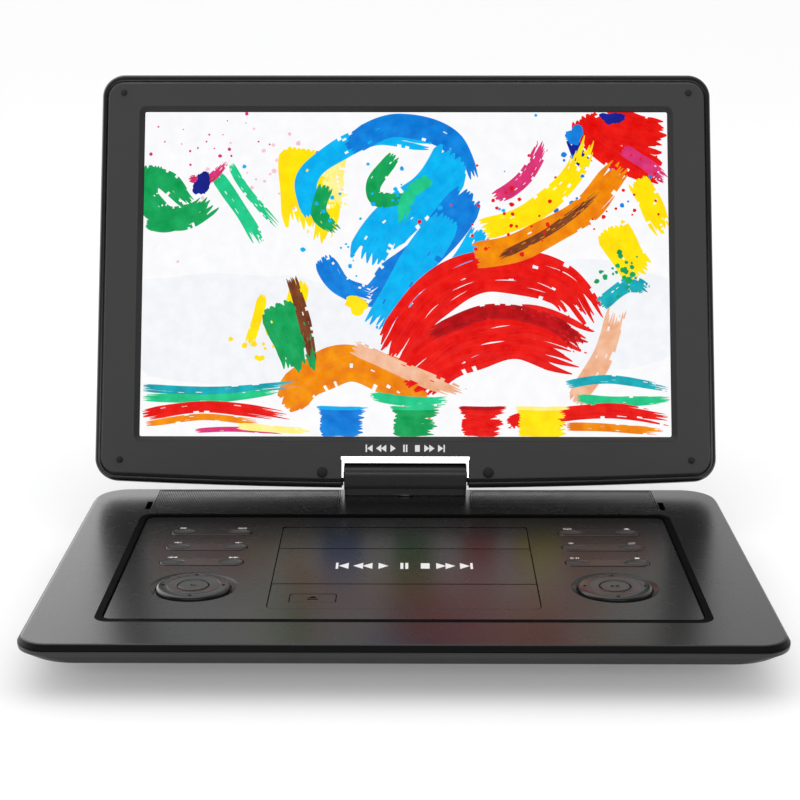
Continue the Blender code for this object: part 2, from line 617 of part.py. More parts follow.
def leaning_frame(shop):
    """The lid's own frame: its origin is on the tilt axis."""
    frame = bpy.data.objects.new("lid_frame", None)
    shop.parts.objects.link(frame)
    frame.location = (0.0, HINGE_Y * MM, HINGE_Z * MM)
    frame.rotation_euler = (-math.radians(LID_LEAN), 0.0, 0.0)
    return frame


def lid_cuts(frame):
    """The notch for the hinge and the two shaft holes, shared by both halves of the lid."""
    notch = (-NOTCH_HALF_WIDTH, NOTCH_HALF_WIDTH)
    cutters = [box("notch", notch, (-20.0, 20.0), (-20.0, NOTCH_TOP), parent=frame)]
    for side in (-1, 1):
        hole = cylinder("shaft_hole", SHAFT_RADIUS + GAP, (side * 38.0, 0.0, 0.0), 16.0, "x", 24, frame)
        cutters.append(hole)
    return cutters


def make_bezel(shop, frame):
    face = LID_THICKNESS / 2
    profile = [(SPLIT, 0.0), (face - 4.0, 0.0), (face - 1.2, 1.2), (face, EDGE_INSET)]
    rings = [lid_ring(forward, inset) for forward, inset in profile]
    bezel = shop.add(loft("lid_bezel", rings, frame), "lid_bezel")
    sunk = face - DISPLAY_SINK
    half = DISPLAY_HALF_WIDTH
    low, high = DISPLAY_SPAN
    slope = DISPLAY_SINK + 0.2
    window = [
        [(x, -w, v) for x, v in outline(half + grow, low - grow, high + grow, 1.0, 1.0)]
        for w, grow in ((sunk - 2.0, 0.0), (sunk, 0.0), (face, slope), (face + 1.0, slope))
    ]
    shop.cut(bezel, loft("window", window, frame))
    pocket_back = -(SPLIT - 2.0)
    shop.cut(bezel, box("pocket", (-171.0, 171.0), (-sunk - 0.3, pocket_back), (14.0, 227.0), parent=frame))
    shop.cut(bezel, *lid_cuts(frame))


def make_rear_cover(shop, frame):
    back = -LID_THICKNESS / 2
    chin = 14.0
    rings = [
        lid_ring(back + WALL, 6.0, chin),
        lid_ring(back + WALL + 2.0, 3.0, chin),
        lid_ring(-SPLIT, WALL + 0.4, chin),
        lid_ring(-SPLIT, 0.0),
        lid_ring(back + 4.0, 0.3),
        lid_ring(back + 1.6, 1.6),
        lid_ring(back, EDGE_INSET),
    ]
    cover = shop.add(loft("lid_rear_cover", rings, frame), "lid_rear_cover")
    shop.cut(cover, *lid_cuts(frame))


def make_lid_trim(shop, frame):
    face = LID_THICKNESS / 2
    lcd = box("lcd_panel", (-157.0, 157.0), (-(face - DISPLAY_SINK), -0.4), (17.0, 218.0), parent=frame)
    shop.add(lcd, "lcd_panel")

    outer = NOTCH_HALF_WIDTH - GAP
    bar_z = (NOTCH_TOP - GAP - WALL, NOTCH_TOP - GAP)
    trim = box("chrome_trim", (-outer, outer), (-face - 0.2, -face + 1.8), bar_z, parent=frame)
    shop.add(trim, "chrome_trim")
    side_profile = [(-face - 0.2, 9.0), (-face - 0.2, -1.0), (-4.4, -5.2), (-3.5, -5.2), (-3.5, 9.0)]
    for side in (-1, 1):
        rings = [[(side * x, y, z) for y, z in side_profile] for x in (outer - 0.8, outer - 0.02)]
        shop.join(trim, loft("trim_leg", rings, frame))

    bumpers = [(164.0, 223.1, 1.85), (162.5, 9.1, 1.85), (47.2, 2.0, 3.05)]
    rows = ("top", "bottom", "middle")
    for (x, along, radius), row in zip(bumpers, rows):
        for side, word in ((-1, "left"), (1, "right")):
            centre = (side * x, -face - GAP - 0.65, along)
            shop.add(cylinder(f"bumper_{row}_{word}", radius, centre, 1.3, "y", 20, frame), "rubber")
    for side, word in ((-1, "left"), (1, "right")):
        shaft = cylinder("hinge_shaft_" + word, SHAFT_RADIUS, (side * 35.0, 0.0, 0.0), 21.0, "x", 24, frame)
        shop.add(shaft, "steel")


def main():
    empty_scene()
    shop = Workshop()
    make_lower_shell(shop)
    make_top_cover(shop)
    make_grilles(shop)
    make_control_panel(shop)
    make_disc_door(shop)
    make_disc_deck(shop)
    make_drive(shop)
    make_rockers(shop)
    make_dpads(shop)
    make_boards(shop)
    make_speakers(shop)
    make_ports(shop)
    make_feet_and_screws(shop)
    make_swivel(shop)
    frame = leaning_frame(shop)
    make_bezel(shop, frame)
    make_rear_cover(shop, frame)
    make_lid_trim(shop, frame)


main()
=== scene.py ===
"""Looks of the portable DVD player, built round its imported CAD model.

Lengths are in millimetres and the builders turn them into metres. Places come from the CAD
nodes' boxes. The lid is drawn upright in its own frame, as (x, -out, up): x to the right, "up"
along the lid from the tilt axis and "out" towards the viewer. LID_MATRIX leans it back.
"""
import json
import math
import random

import bmesh
import bpy
from mathutils import Matrix, Vector


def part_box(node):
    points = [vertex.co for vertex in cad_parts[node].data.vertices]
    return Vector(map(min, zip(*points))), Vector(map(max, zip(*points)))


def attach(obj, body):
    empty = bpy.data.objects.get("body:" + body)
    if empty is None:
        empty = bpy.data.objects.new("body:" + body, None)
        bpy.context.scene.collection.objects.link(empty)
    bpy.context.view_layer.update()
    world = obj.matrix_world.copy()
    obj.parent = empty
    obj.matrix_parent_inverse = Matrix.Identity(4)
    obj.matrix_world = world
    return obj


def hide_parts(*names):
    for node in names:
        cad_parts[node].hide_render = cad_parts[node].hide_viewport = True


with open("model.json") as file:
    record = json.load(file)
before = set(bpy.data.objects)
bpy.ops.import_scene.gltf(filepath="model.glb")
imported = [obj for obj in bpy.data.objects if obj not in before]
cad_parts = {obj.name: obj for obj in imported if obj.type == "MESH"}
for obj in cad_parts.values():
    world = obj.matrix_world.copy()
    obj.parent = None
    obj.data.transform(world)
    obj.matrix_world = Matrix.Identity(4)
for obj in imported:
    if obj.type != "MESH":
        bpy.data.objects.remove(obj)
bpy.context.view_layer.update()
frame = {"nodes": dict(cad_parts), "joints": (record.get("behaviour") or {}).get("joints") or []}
MM = 0.001


# ---- Places, read from the CAD ----
def span(node):
    """Lowest and highest corner of a CAD node, in millimetres."""
    low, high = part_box(node)
    return low / MM, high / MM


def middle(node):
    low, high = span(node)
    return (low + high) / 2


def joint(name):
    return next(j for j in frame["joints"] if j["name"] == name)


COVER_LOW, COVER_HIGH = span("top_cover")
PANEL_TOP = span("control_panel")[1].z
TOP_Z = COVER_HIGH.z
HALF_WIDTH = COVER_HIGH.x
FRONT = COVER_LOW.y
REAR = COVER_HIGH.y

TILT = joint("lid_tilt")
HINGE = Vector(TILT["pos_m"])
LEAN = math.radians(TILT["range_deg"][1] - 90.0)
LID_MATRIX = Matrix.Translation(HINGE) @ Matrix.Rotation(-LEAN, 4, "X")

# ---- Base case ----
CORNER_STEPS = 14
TOP_INSET = 2.0
COVER_EDGE_Z = 24.3
BAND_Z = 21.7
FRONT_LIP_Z = 18.0
REAR_LIP_Z = 11.0
FLOOR_INSET = {"sides": 16.0, "front": 65.0, "rear": 8.0}
CORNER = {"front": 16.0, "rear": 20.0, "lip": 28.0}
RIM_Z = 24.0
FLOOR_Z = 2.5
WALL = 2.0
BOSS_X = 152.0
BOSS_Y = (-70.0, 50.0)
PORT_X = 163.5

# ---- Panel, door and keys. Lengths named BEHIND count back from the front edge of the flat top ----
LEDGE_HALF = 147.5
LEDGE_BEHIND = (28.0, 198.0)
OPENING_HALF = 138.5
OPENING_BEHIND = (36.0, 189.0)
SPEAKER_X = (37.0, 141.0)
SPEAKER_BEHIND = (206.0, 240.0)
SIDE_SLOT_X = (141.9, 144.9)
SIDE_SLOT_BEHIND = (202.9, 216.9)
PANEL_HALF = 141.4
PANEL_BEHIND = (33.3, 191.8)
DOOR_HALF = 65.5
DOOR_BEHIND = (48.9, 173.8)
DOOR_OPENING_BEHIND = (48.5, 174.7)
DOOR_GROOVES_BEHIND = (83.8, 138.3)
RIBS_BEHIND = (75.0, 168.0)
TAB_X = -44.1
TAB_BEHIND = (57.9, 69.2)
KEYS_X = 103.7
ROCKERS_BEHIND = (164.5, 140.0, 116.0)
DPAD_BEHIND = 79.3
SYMBOL_RELIEF = 0.03

# ---- Lid ----
LID_HALF = 177.0
LID_TOP = 234.8
LID_CHIN = -6.3
LID_BOW = 3.8
LID_CORNER = 13.0
FACE_OUT = 7.4
SCREEN_HALF = 151.7
SCREEN_UP = (22.7, 212.2)
SCREEN_OUT = 4.9
WINDOW_RADIUS = 1.2
NOTCH_HALF = 36.3
NOTCH_TOP = 9.7
SHAFT_RADIUS = 3.3


# ---- Materials ----
def shader_material(name):
    material = bpy.data.materials.new(name)
    material.use_nodes = True
    nodes = material.node_tree.nodes
    return material, nodes, material.node_tree.links, nodes["Principled BSDF"]


def noise(nodes, links, size, detail=2.0, stretch=(1.0, 1.0, 1.0)):
    """Noise whose features are about that many millimetres wide, fixed to the object."""
    place = nodes.new("ShaderNodeTexCoord")
    mapping = nodes.new("ShaderNodeMapping")
    mapping.inputs["Scale"].default_value = stretch
    texture = nodes.new("ShaderNodeTexNoise")
    texture.inputs["Scale"].default_value = 1.0 / (size * MM)
    texture.inputs["Detail"].default_value = detail
    links.new(place.outputs["Object"], mapping.inputs["Vector"])
    links.new(mapping.outputs["Vector"], texture.inputs["Vector"])
    return texture.outputs["Fac"]


def mapped(nodes, links, source, reach, result):
    """Carry a value from one range over to another."""
    scale = nodes.new("ShaderNodeMapRange")
    scale.inputs["From Min"].default_value = reach[0]
    scale.inputs["From Max"].default_value = reach[1]
    scale.inputs["To Min"].default_value = result[0]
    scale.inputs["To Max"].default_value = result[1]
    links.new(source, scale.inputs["Value"])
    return scale.outputs["Result"]


def spread(nodes, links, source, low, high):
    """Spread noise, which stays near 0.5, over a range."""
    return mapped(nodes, links, source, (0.3, 0.7), (low, high))


def two_tones(nodes, links, source, first, second):
    mix = nodes.new("ShaderNodeMix")
    mix.data_type = "RGBA"
    mix.inputs["A"].default_value = (*first, 1.0)
    mix.inputs["B"].default_value = (*second, 1.0)
    links.new(source, mix.inputs["Factor"])
    return mix.outputs["Result"]


def grey(value):
    return (value, value, value)


def surface(name, colour, roughness, metallic=0.0, grain=0.35, depth=0.006, wear=0.12,
            specular=0.5, coat=0.0):
    """Moulded plastic, rubber or metal: a fine grain, cloudy gloss and a little colour variation."""
    material, nodes, links, shader = shader_material(name)
    shader.inputs["Metallic"].default_value = metallic
    shader.inputs["Specular IOR Level"].default_value = specular
    shader.inputs["Coat Weight"].default_value = coat
    clouds = noise(nodes, links, 28.0)
    shade = [value * (1.0 - wear) for value in colour]
    light = [min(value * (1.0 + wear), 1.0) for value in colour]
    links.new(two_tones(nodes, links, clouds, shade, light), shader.inputs["Base Color"])
    patches = noise(nodes, links, 9.0, 4.0)
    gloss = spread(nodes, links, patches, roughness * (1 - wear), roughness * (1 + wear))
    links.new(gloss, shader.inputs["Roughness"])
    if depth:
        bump = nodes.new("ShaderNodeBump")
        bump.inputs["Strength"].default_value = 0.5
        bump.inputs["Distance"].default_value = depth * MM
        links.new(noise(nodes, links, grain, 1.0), bump.inputs["Height"])
        links.new(bump.outputs["Normal"], shader.inputs["Normal"])
    return material


def brushed(name, colour, roughness, stretch):
    """Drawn or turned metal, with fine streaks along one direction."""
    material, nodes, links, shader = shader_material(name)
    shader.inputs["Metallic"].default_value = 1.0
    streaks = noise(nodes, links, 0.6, 3.0, stretch)
    dark = [value * 0.8 for value in colour]
    links.new(two_tones(nodes, links, streaks, dark, colour), shader.inputs["Base Color"])
    links.new(spread(nodes, links, streaks, roughness * 0.7, roughness * 1.3), shader.inputs["Roughness"])
    return material


def lit(name, first, second, strength, size):
    """A patch of the lit picture: its colour drifts between two tones."""
    material, nodes, links, shader = shader_material(name)
    shader.inputs["Base Color"].default_value = (0.0, 0.0, 0.0, 1.0)
    shader.inputs["Roughness"].default_value = 0.35
    shader.inputs["Specular IOR Level"].default_value = 0.2
    shader.inputs["Emission Strength"].default_value = strength
    tones = spread(nodes, links, noise(nodes, links, size, 4.0), 0.0, 1.0)
    links.new(two_tones(nodes, links, tones, first, second), shader.inputs["Emission Color"])
    return material


M = {
    "shell": surface("shell_satin", grey(0.011), 0.42, grain=0.5, depth=0.006),
    # Belly: a darker copy of the shell plastic for the lower band and the underside, painted shade for the
    # shadowed floor that they mirror.
    "belly": surface("belly_satin_painted_shade", grey(0.005), 0.46, grain=0.5, depth=0.010),
    "cover": surface("cover_black", grey(0.0045), 0.27, depth=0.0, wear=0.03, specular=0.24),
    "panel": surface("panel_black", grey(0.009), 0.27, depth=0.0, wear=0.03, specular=0.24),
    "edge": surface("edge_black", grey(0.005), 0.4, depth=0.0, wear=0.03, specular=0.08),
    # Bevel: the bezel plastic painted darker for the window's bevel, painted shade.
    "bevel": surface("bevel_painted_shade", grey(0.022), 0.55, grain=0.28, depth=0.006, wear=0.05, specular=0.3),
    # Groove: near-black and barely reflective. On the walls of cuts, grooves, seams and vents and on the
    # sunk frame round the panel it is painted shade; it also colours the dark symbols on the pads and the
    # open button, and the cloth under the grilles.
    "groove": surface("groove_black_painted_shade", grey(0.002), 0.7, depth=0.002, specular=0.02),
    "key": surface("key_black", grey(0.010), 0.24, depth=0.0, wear=0.04, specular=0.35),
    "bezel": surface("bezel_matt", grey(0.038), 0.55, grain=0.28, depth=0.010, wear=0.05, specular=0.3),
    "rim": surface("rim_black", grey(0.010), 0.24, grain=0.3, depth=0.002),
    "back": surface("back_gloss", (0.008, 0.008, 0.009), 0.28, depth=0.0, wear=0.03, specular=0.12),
    "grille": surface("grille_satin", grey(0.008), 0.34, grain=0.6, depth=0.001),
    "hinge": surface("hinge_satin", grey(0.026), 0.30, grain=0.3, depth=0.003),
    "rubber": surface("rubber_matt", grey(0.014), 0.75, grain=0.3, depth=0.02, specular=0.3),
    "inner": surface("inner_plastic", (0.018, 0.018, 0.019), 0.45, grain=0.5, depth=0.012),
    "glass": surface("display_glass", (0.010, 0.010, 0.012), 0.12, grain=1.0, depth=0.0005),
    "ink": surface("white_ink", grey(0.78), 0.5, grain=0.2, depth=0.002, wear=0.04),
    "board": surface("solder_mask", (0.008, 0.075, 0.028), 0.38, grain=2.0, depth=0.02, wear=0.3),
    "wrap": surface("wrap_film", (0.015, 0.030, 0.085), 0.35, grain=3.0, depth=0.03, wear=0.2),
    "copper": surface("contact_gold", (0.80, 0.55, 0.22), 0.30, metallic=1.0),
    "lens": surface("lens_glass", (0.020, 0.035, 0.120), 0.05, grain=1.0, depth=0.0005, coat=1.0),
    "chrome": surface("chrome_bright", (0.86, 0.86, 0.87), 0.07, metallic=1.0, grain=1.5, depth=0.0005,
                      wear=0.03),
    "steel": brushed("steel_bright", (0.62, 0.62, 0.63), 0.30, (1.0, 0.05, 1.0)),
    "screw": brushed("screw_dark", (0.10, 0.10, 0.105), 0.35, (1.0, 1.0, 0.2)),
    "socket": brushed("socket_plate", grey(0.66), 0.28, (0.05, 1.0, 1.0)),
}
PAINTS = {
    "paper": ((0.93, 0.93, 0.95), (0.98, 0.98, 0.99)),
    "haze": ((0.86, 0.88, 0.92), (0.93, 0.94, 0.97)),
    "green": ((0.0, 0.30, 0.07), (0.01, 0.42, 0.12)),
    "jade": ((0.01, 0.50, 0.20), (0.02, 0.66, 0.30)),
    "navy": ((0.004, 0.008, 0.18), (0.006, 0.015, 0.34)),
    "pink": ((0.60, 0.02, 0.12), (0.80, 0.05, 0.24)),
    "rose": ((0.88, 0.50, 0.60), (0.94, 0.66, 0.74)),
    "yellow": ((1.0, 0.70, 0.0), (1.0, 0.84, 0.0)),
    "straw": ((1.0, 0.84, 0.15), (1.0, 0.93, 0.35)),
    "sky": ((0.0, 0.38, 0.82), (0.0, 0.52, 0.95)),
    "blue": ((0.0, 0.16, 0.62), (0.005, 0.26, 0.80)),
    "red": ((0.72, 0.0, 0.0), (0.90, 0.01, 0.005)),
    "crimson": ((0.34, 0.0, 0.002), (0.60, 0.002, 0.006)),
    "orange": ((0.80, 0.18, 0.0), (0.95, 0.32, 0.0)),
    "peach": ((0.82, 0.38, 0.20), (0.93, 0.58, 0.40)),
    "rust": ((0.12, 0.025, 0.008), (0.26, 0.07, 0.02)),
    "teal": ((0.004, 0.30, 0.38), (0.01, 0.48, 0.55)),
}
for tone, (deep, bright) in PAINTS.items():
    M[tone] = lit(f"paint_{tone}", deep, bright, 1.0, 7.0)


# ---- Builders: millimetres in, metres out ----
SHARP = math.radians(35.0)
SHARP_CUT = math.radians(32.0)


def as_piece(name, bm, materials, matrix=None):
    """Turn a mesh drawn in millimetres into an object, smooth but for its sharp edges."""
    bmesh.ops.scale(bm, vec=(MM, MM, MM), verts=bm.verts)
    if matrix is not None:
        bmesh.ops.transform(bm, matrix=matrix, verts=bm.verts)
    bmesh.ops.recalc_face_normals(bm, faces=bm.faces)
    mesh = bpy.data.meshes.new(name)
    bm.to_mesh(mesh)
    bm.free()
    mesh.shade_smooth()
    mesh.set_sharp_from_angle(angle=SHARP)
    for material in materials:
        mesh.materials.append(M[material])
    obj = bpy.data.objects.new(name, mesh)
    bpy.context.scene.collection.objects.link(obj)
    return obj


def loft(name, rings, materials, bands=None, closed=False, matrix=None):
    """Skin a chain of rings. The bands give a material index to each gap between two rings."""
    bm = bmesh.new()
    loops = [[bm.verts.new(point) for point in ring] for ring in rings]
    count = len(loops[0])
    pairs = list(zip(loops, loops[1:]))
    if closed:
        pairs.append((loops[-1], loops[0]))
    for number, (first, second) in enumerate(pairs):
        for i in range(count):
            j = (i + 1) % count
            face = bm.faces.new((first[i], first[j], second[j], second[i]))
            if bands:
                face.material_index = bands[number]
    if not closed:
        bm.faces.new(loops[0])
        bm.faces.new(loops[-1])
    return as_piece(name, bm, materials, matrix)


def between(first, second, share):
    """The ring part of the way from one ring to another."""
    return [tuple(a + (b - a) * share for a, b in zip(p, q)) for p, q in zip(first, second)]


def lifted(points, z):
    return [(x, y, z) for x, y in points]


def prism(name, points, heights):
    """A straight cutting tool from an outline."""
    return loft(name, [lifted(points, z) for z in heights], ["groove"])


def plate(name, edge, profile, materials):
    """A plate from an outline function of an inset, and a profile of (height, inset)."""
    return settle(loft(name, [lifted(edge(inset), z) for z, inset in profile], materials))


def box(name, x, y, z, material="groove", radius=0.0, along="z", steps=6, matrix=None):
    """A box between pairs of coordinates. Edges along one axis may be rounded."""
    bm = bmesh.new()
    bmesh.ops.create_cube(bm, size=1.0)
    bmesh.ops.scale(bm, vec=[high - low for low, high in (x, y, z)], verts=bm.verts)
    bmesh.ops.translate(bm, vec=[(low + high) / 2 for low, high in (x, y, z)], verts=bm.verts)
    if radius:
        axis = "xyz".index(along)
        edges = [e for e in bm.edges if abs(e.verts[0].co[axis] - e.verts[1].co[axis]) > 1e-3]
        bmesh.ops.bevel(bm, geom=edges, offset=radius, segments=steps, profile=0.5, affect="EDGES")
    return as_piece(name, bm, [material], matrix)


def cylinder(name, radius, centre, length, axis="z", material="groove", sides=48, matrix=None):
    bm = bmesh.new()
    bmesh.ops.create_cone(bm, cap_ends=True, segments=sides, radius1=radius, radius2=radius,
                          depth=length)
    turn = {"x": "Y", "y": "X"}.get(axis)
    if turn:
        bmesh.ops.rotate(bm, matrix=Matrix.Rotation(math.pi / 2, 3, turn), verts=bm.verts)
    bmesh.ops.translate(bm, vec=centre, verts=bm.verts)
    return as_piece(name, bm, [material], matrix)


def turned(name, profile, centre, materials, sides=64, axis="z", matrix=None):
    """A solid of revolution from a profile of (radius, height), round the z or the x axis."""
    bm = bmesh.new()
    rings = []
    for radius, height in profile:
        steps = sides if radius > 0 else 1
        ring = []
        for step in range(steps):
            angle = 2 * math.pi * step / sides
            ring.append(bm.verts.new((radius * math.cos(angle), radius * math.sin(angle), height)))
        rings.append(ring)
    for upper, lower in zip(rings, rings[1:]):
        for i in range(sides):
            j = (i + 1) % sides
            corners = [upper[i % len(upper)], upper[j % len(upper)],
                       lower[j % len(lower)], lower[i % len(lower)]]
            bm.faces.new(list(dict.fromkeys(corners)))
    if axis == "x":
        bmesh.ops.rotate(bm, matrix=Matrix.Rotation(math.pi / 2, 3, "Y"), verts=bm.verts)
    bmesh.ops.translate(bm, vec=centre, verts=bm.verts)
    return as_piece(name, bm, materials, matrix)


def centred(centre, length):
    return (centre - length / 2, centre + length / 2)


def carve(obj, cutters, operation="DIFFERENCE"):
    """Cut or join with other solids, keep the result as the object's mesh and drop the tools."""
    for cutter in cutters:
        modifier = obj.modifiers.new("carve", "BOOLEAN")
        modifier.operation = operation
        modifier.object = cutter
        # Cut walls take the tool's material, mostly the near-black groove material: painted shade in holes
        # and recesses.
        modifier.material_mode = "TRANSFER"
    keep_modifiers(obj)
    for cutter in cutters:
        bpy.data.objects.remove(cutter, do_unlink=True)
    return settle(obj)


def settle(obj):
    """Let the large faces set the normals, so that flats shade flat and fillets shade round."""
    obj.data.shade_smooth()
    obj.data.set_sharp_from_angle(angle=SHARP_CUT)
    flats = obj.modifiers.new("flats", "WEIGHTED_NORMAL")
    flats.keep_sharp = True
    keep_modifiers(obj)
    return obj


def soften(obj, width, segments=3):
    """Round the sharp edges."""
    bevel = obj.modifiers.new("soften", "BEVEL")
    bevel.width = width * MM
    bevel.segments = segments
    bevel.limit_method = "ANGLE"
    bevel.angle_limit = math.radians(30.0)
    bevel.use_clamp_overlap = True
    keep_modifiers(obj)
    return settle(obj)


def keep_modifiers(obj):
    """Write what the modifiers make into the object's own mesh."""
    bpy.context.view_layer.update()
    depsgraph = bpy.context.evaluated_depsgraph_get()
    mesh = bpy.data.meshes.new_from_object(obj.evaluated_get(depsgraph))
    obj.modifiers.clear()
    obj.data = mesh


def refined(node, body, slot, material, width):
    """A copy of a CAD node with its sharp edges rounded."""
    obj = bpy.data.objects.new(node + "_fine", frame["nodes"][node].data.copy())
    bpy.context.scene.collection.objects.link(obj)
    obj.data.materials.clear()
    obj.data.materials.append(M[material])
    weld = obj.modifiers.new("weld", "WELD")
    weld.merge_threshold = 0.001 * MM
    soften(obj, width, 2)
    return fit(obj, body, slot, node)


def fit(obj, body, slot, *nodes):
    """The piece rides on a body and replaces the CAD nodes, if any are named. The slot is not used."""
    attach(obj, body)
    if nodes:
        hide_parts(*nodes)
    return obj


def dress(nodes, material):
    """Give carried-over CAD nodes a finished material."""
    for node in nodes:
        obj = frame["nodes"][node]
        obj.data.materials.clear()
        obj.data.materials.append(M[material])
        obj.data.shade_smooth()
        obj.data.set_sharp_from_angle(angle=SHARP)


# ---- Outlines ----
def behind(distance):
    """Y of a place that far behind the front edge of the flat top."""
    return FRONT + TOP_INSET + distance


def along(pair):
    return [behind(value) for value in pair]


def arc(centre_x, centre_y, radius, start):
    """A quarter circle, as points."""
    turns = [math.radians(start + 90.0 * step / CORNER_STEPS) for step in range(CORNER_STEPS + 1)]
    return [(centre_x + radius * math.cos(t), centre_y + radius * math.sin(t)) for t in turns]


def outline(half, front, rear, front_radius, rear_radius):
    """A rounded rectangle seen from above."""
    points = arc(half - rear_radius, rear - rear_radius, rear_radius, 0)
    points += arc(rear_radius - half, rear - rear_radius, rear_radius, 90)
    points += arc(front_radius - half, front + front_radius, front_radius, 180)
    points += arc(half - front_radius, front + front_radius, front_radius, 270)
    return points


def base_ring(height, inset, extra_radius=0.0):
    front_radius = CORNER["front"] + extra_radius - inset
    rear_radius = CORNER["rear"] + extra_radius - inset
    points = outline(HALF_WIDTH - inset, FRONT + inset, REAR - inset, front_radius, rear_radius)
    return [(x, y, height(y) if callable(height) else height) for x, y in points]


def floor_ring(height, inset):
    lip = CORNER["lip"]
    half = HALF_WIDTH - FLOOR_INSET["sides"] - inset
    front = FRONT + FLOOR_INSET["front"] + inset
    rear = REAR - FLOOR_INSET["rear"] - inset
    return [(x, y, height) for x, y in outline(half, front, rear, lip, lip)]


def lip_height(y):
    share = min(max((y - FRONT) / (REAR - FRONT), 0.0), 1.0)
    return FRONT_LIP_Z + (REAR_LIP_Z - FRONT_LIP_Z) * share


def lid_ring(out, half, low, high, radius, bow=0.0):
    """A rounded rectangle in the lid's plane. Its lower edge may bow down in the middle."""
    points = arc(half - radius, high - radius, radius, 0)
    points += arc(radius - half, high - radius, radius, 90)
    points += arc(radius - half, low + bow + radius, radius, 180)
    steps = 24
    run = half - radius
    for step in range(1, steps):
        x = -run + 2 * run * step / steps
        points.append((x, low + bow * (x / run) ** 2))
    points += arc(half - radius, low + bow + radius, radius, 270)
    return [(x, -out, up) for x, up in points]


def lid_edge(out, inset):
    """The lid's own outline, moved in by an inset. The top moves in faster than the sides."""
    high = LID_TOP - 1.4 * inset
    return lid_ring(out, LID_HALF - inset, LID_CHIN + inset, high, LID_CORNER - inset, LID_BOW)


def window_edge(out, grow):
    low, high = SCREEN_UP
    return lid_ring(out, SCREEN_HALF + grow, low - grow, high + grow, WINDOW_RADIUS + grow)


# ---- Camera, light and floor ----
def make_camera():
    camera = bpy.data.cameras.new("camera")
    camera.sensor_width = 36.0
    camera.lens = 83.9
    camera.dof.use_dof = False
    obj = bpy.data.objects.new("camera", camera)
    obj.location = (3.6 * MM, -948.0 * MM, 338.3 * MM)
    obj.rotation_euler = (math.radians(90.0 - 14.08), 0.0, math.radians(0.37))
    bpy.context.scene.collection.objects.link(obj)
    bpy.context.scene.camera = obj


def make_world():
    """Even white light. Glossy surfaces see bright walls at the sides and behind, and a dim front."""
    world = bpy.data.worlds.new("studio")
    world.use_nodes = True
    nodes = world.node_tree.nodes
    links = world.node_tree.links
    nodes.clear()
    place = nodes.new("ShaderNodeTexCoord")
    parts = nodes.new("ShaderNodeSeparateXYZ")
    links.new(place.outputs["Generated"], parts.inputs["Vector"])
    depth = mapped(nodes, links, parts.outputs["Y"], (-0.35, 0.25), (0.06, 1.0))
    side = mapped(nodes, links, parts.outputs["X"], (-0.30, 0.30), (2.7, 0.9))
    gloss = nodes.new("ShaderNodeMath")
    gloss.operation = "MULTIPLY"
    links.new(depth, gloss.inputs[0])
    links.new(side, gloss.inputs[1])

    rays = nodes.new("ShaderNodeLightPath")
    even = nodes.new("ShaderNodeBackground")
    even.inputs["Strength"].default_value = 1.0
    mirrored = nodes.new("ShaderNodeBackground")
    links.new(gloss.outputs["Value"], mirrored.inputs["Strength"])
    for background in (even, mirrored):
        background.inputs["Color"].default_value = (1.0, 1.0, 1.0, 1.0)
    mix = nodes.new("ShaderNodeMixShader")
    links.new(rays.outputs["Is Glossy Ray"], mix.inputs["Fac"])
    links.new(even.outputs["Background"], mix.inputs[1])
    links.new(mirrored.outputs["Background"], mix.inputs[2])
    end = nodes.new("ShaderNodeOutputWorld")
    links.new(mix.outputs["Shader"], end.inputs["Surface"])
    bpy.context.scene.world = world
    bpy.context.scene.view_settings.view_transform = "Standard"


def area_light(name, place, target, size, power, mirrored=False):
    """A soft rectangular light. Glossy surfaces show it only where it is mirrored."""
    light = bpy.data.lights.new(name, "AREA")
    light.shape = "RECTANGLE"
    light.size, light.size_y = size
    light.energy = power
    obj = bpy.data.objects.new(name, light)
    obj.location = place
    obj.rotation_euler = (Vector(target) - Vector(place)).to_track_quat("-Z", "Y").to_euler()
    obj.visible_glossy = mirrored
    obj.visible_camera = False
    bpy.context.scene.collection.objects.link(obj)


def make_floor():
    bm = bmesh.new()
    bmesh.ops.create_grid(bm, x_segments=1, y_segments=1, size=12000.0)
    floor = as_piece("floor", bm, [])
    material, nodes, links, shader = shader_material("floor_white")
    shader.inputs["Base Color"].default_value = (0.75, 0.75, 0.75, 1.0)
    shader.inputs["Emission Color"].default_value = (1.0, 1.0, 1.0, 1.0)
    shader.inputs["Emission Strength"].default_value = 0.20
    shader.inputs["Roughness"].default_value = 0.8
    shader.inputs["Specular IOR Level"].default_value = 0.1
    floor.data.materials.append(material)


# ---- Lid ----
def lid_tools():
    """The notch for the hinge and the two shaft holes, cut from both halves of the lid."""
    notch_x = (-NOTCH_HALF, NOTCH_HALF)
    tools = [box("notch", notch_x, (-20.0, 20.0), (-20.0, NOTCH_TOP), matrix=LID_MATRIX)]
    for side in (-1, 1):
        tools.append(cylinder("hole", SHAFT_RADIUS, (side * 38.0, 0.0, 0.0), 16.0, "x", matrix=LID_MATRIX))
    return tools


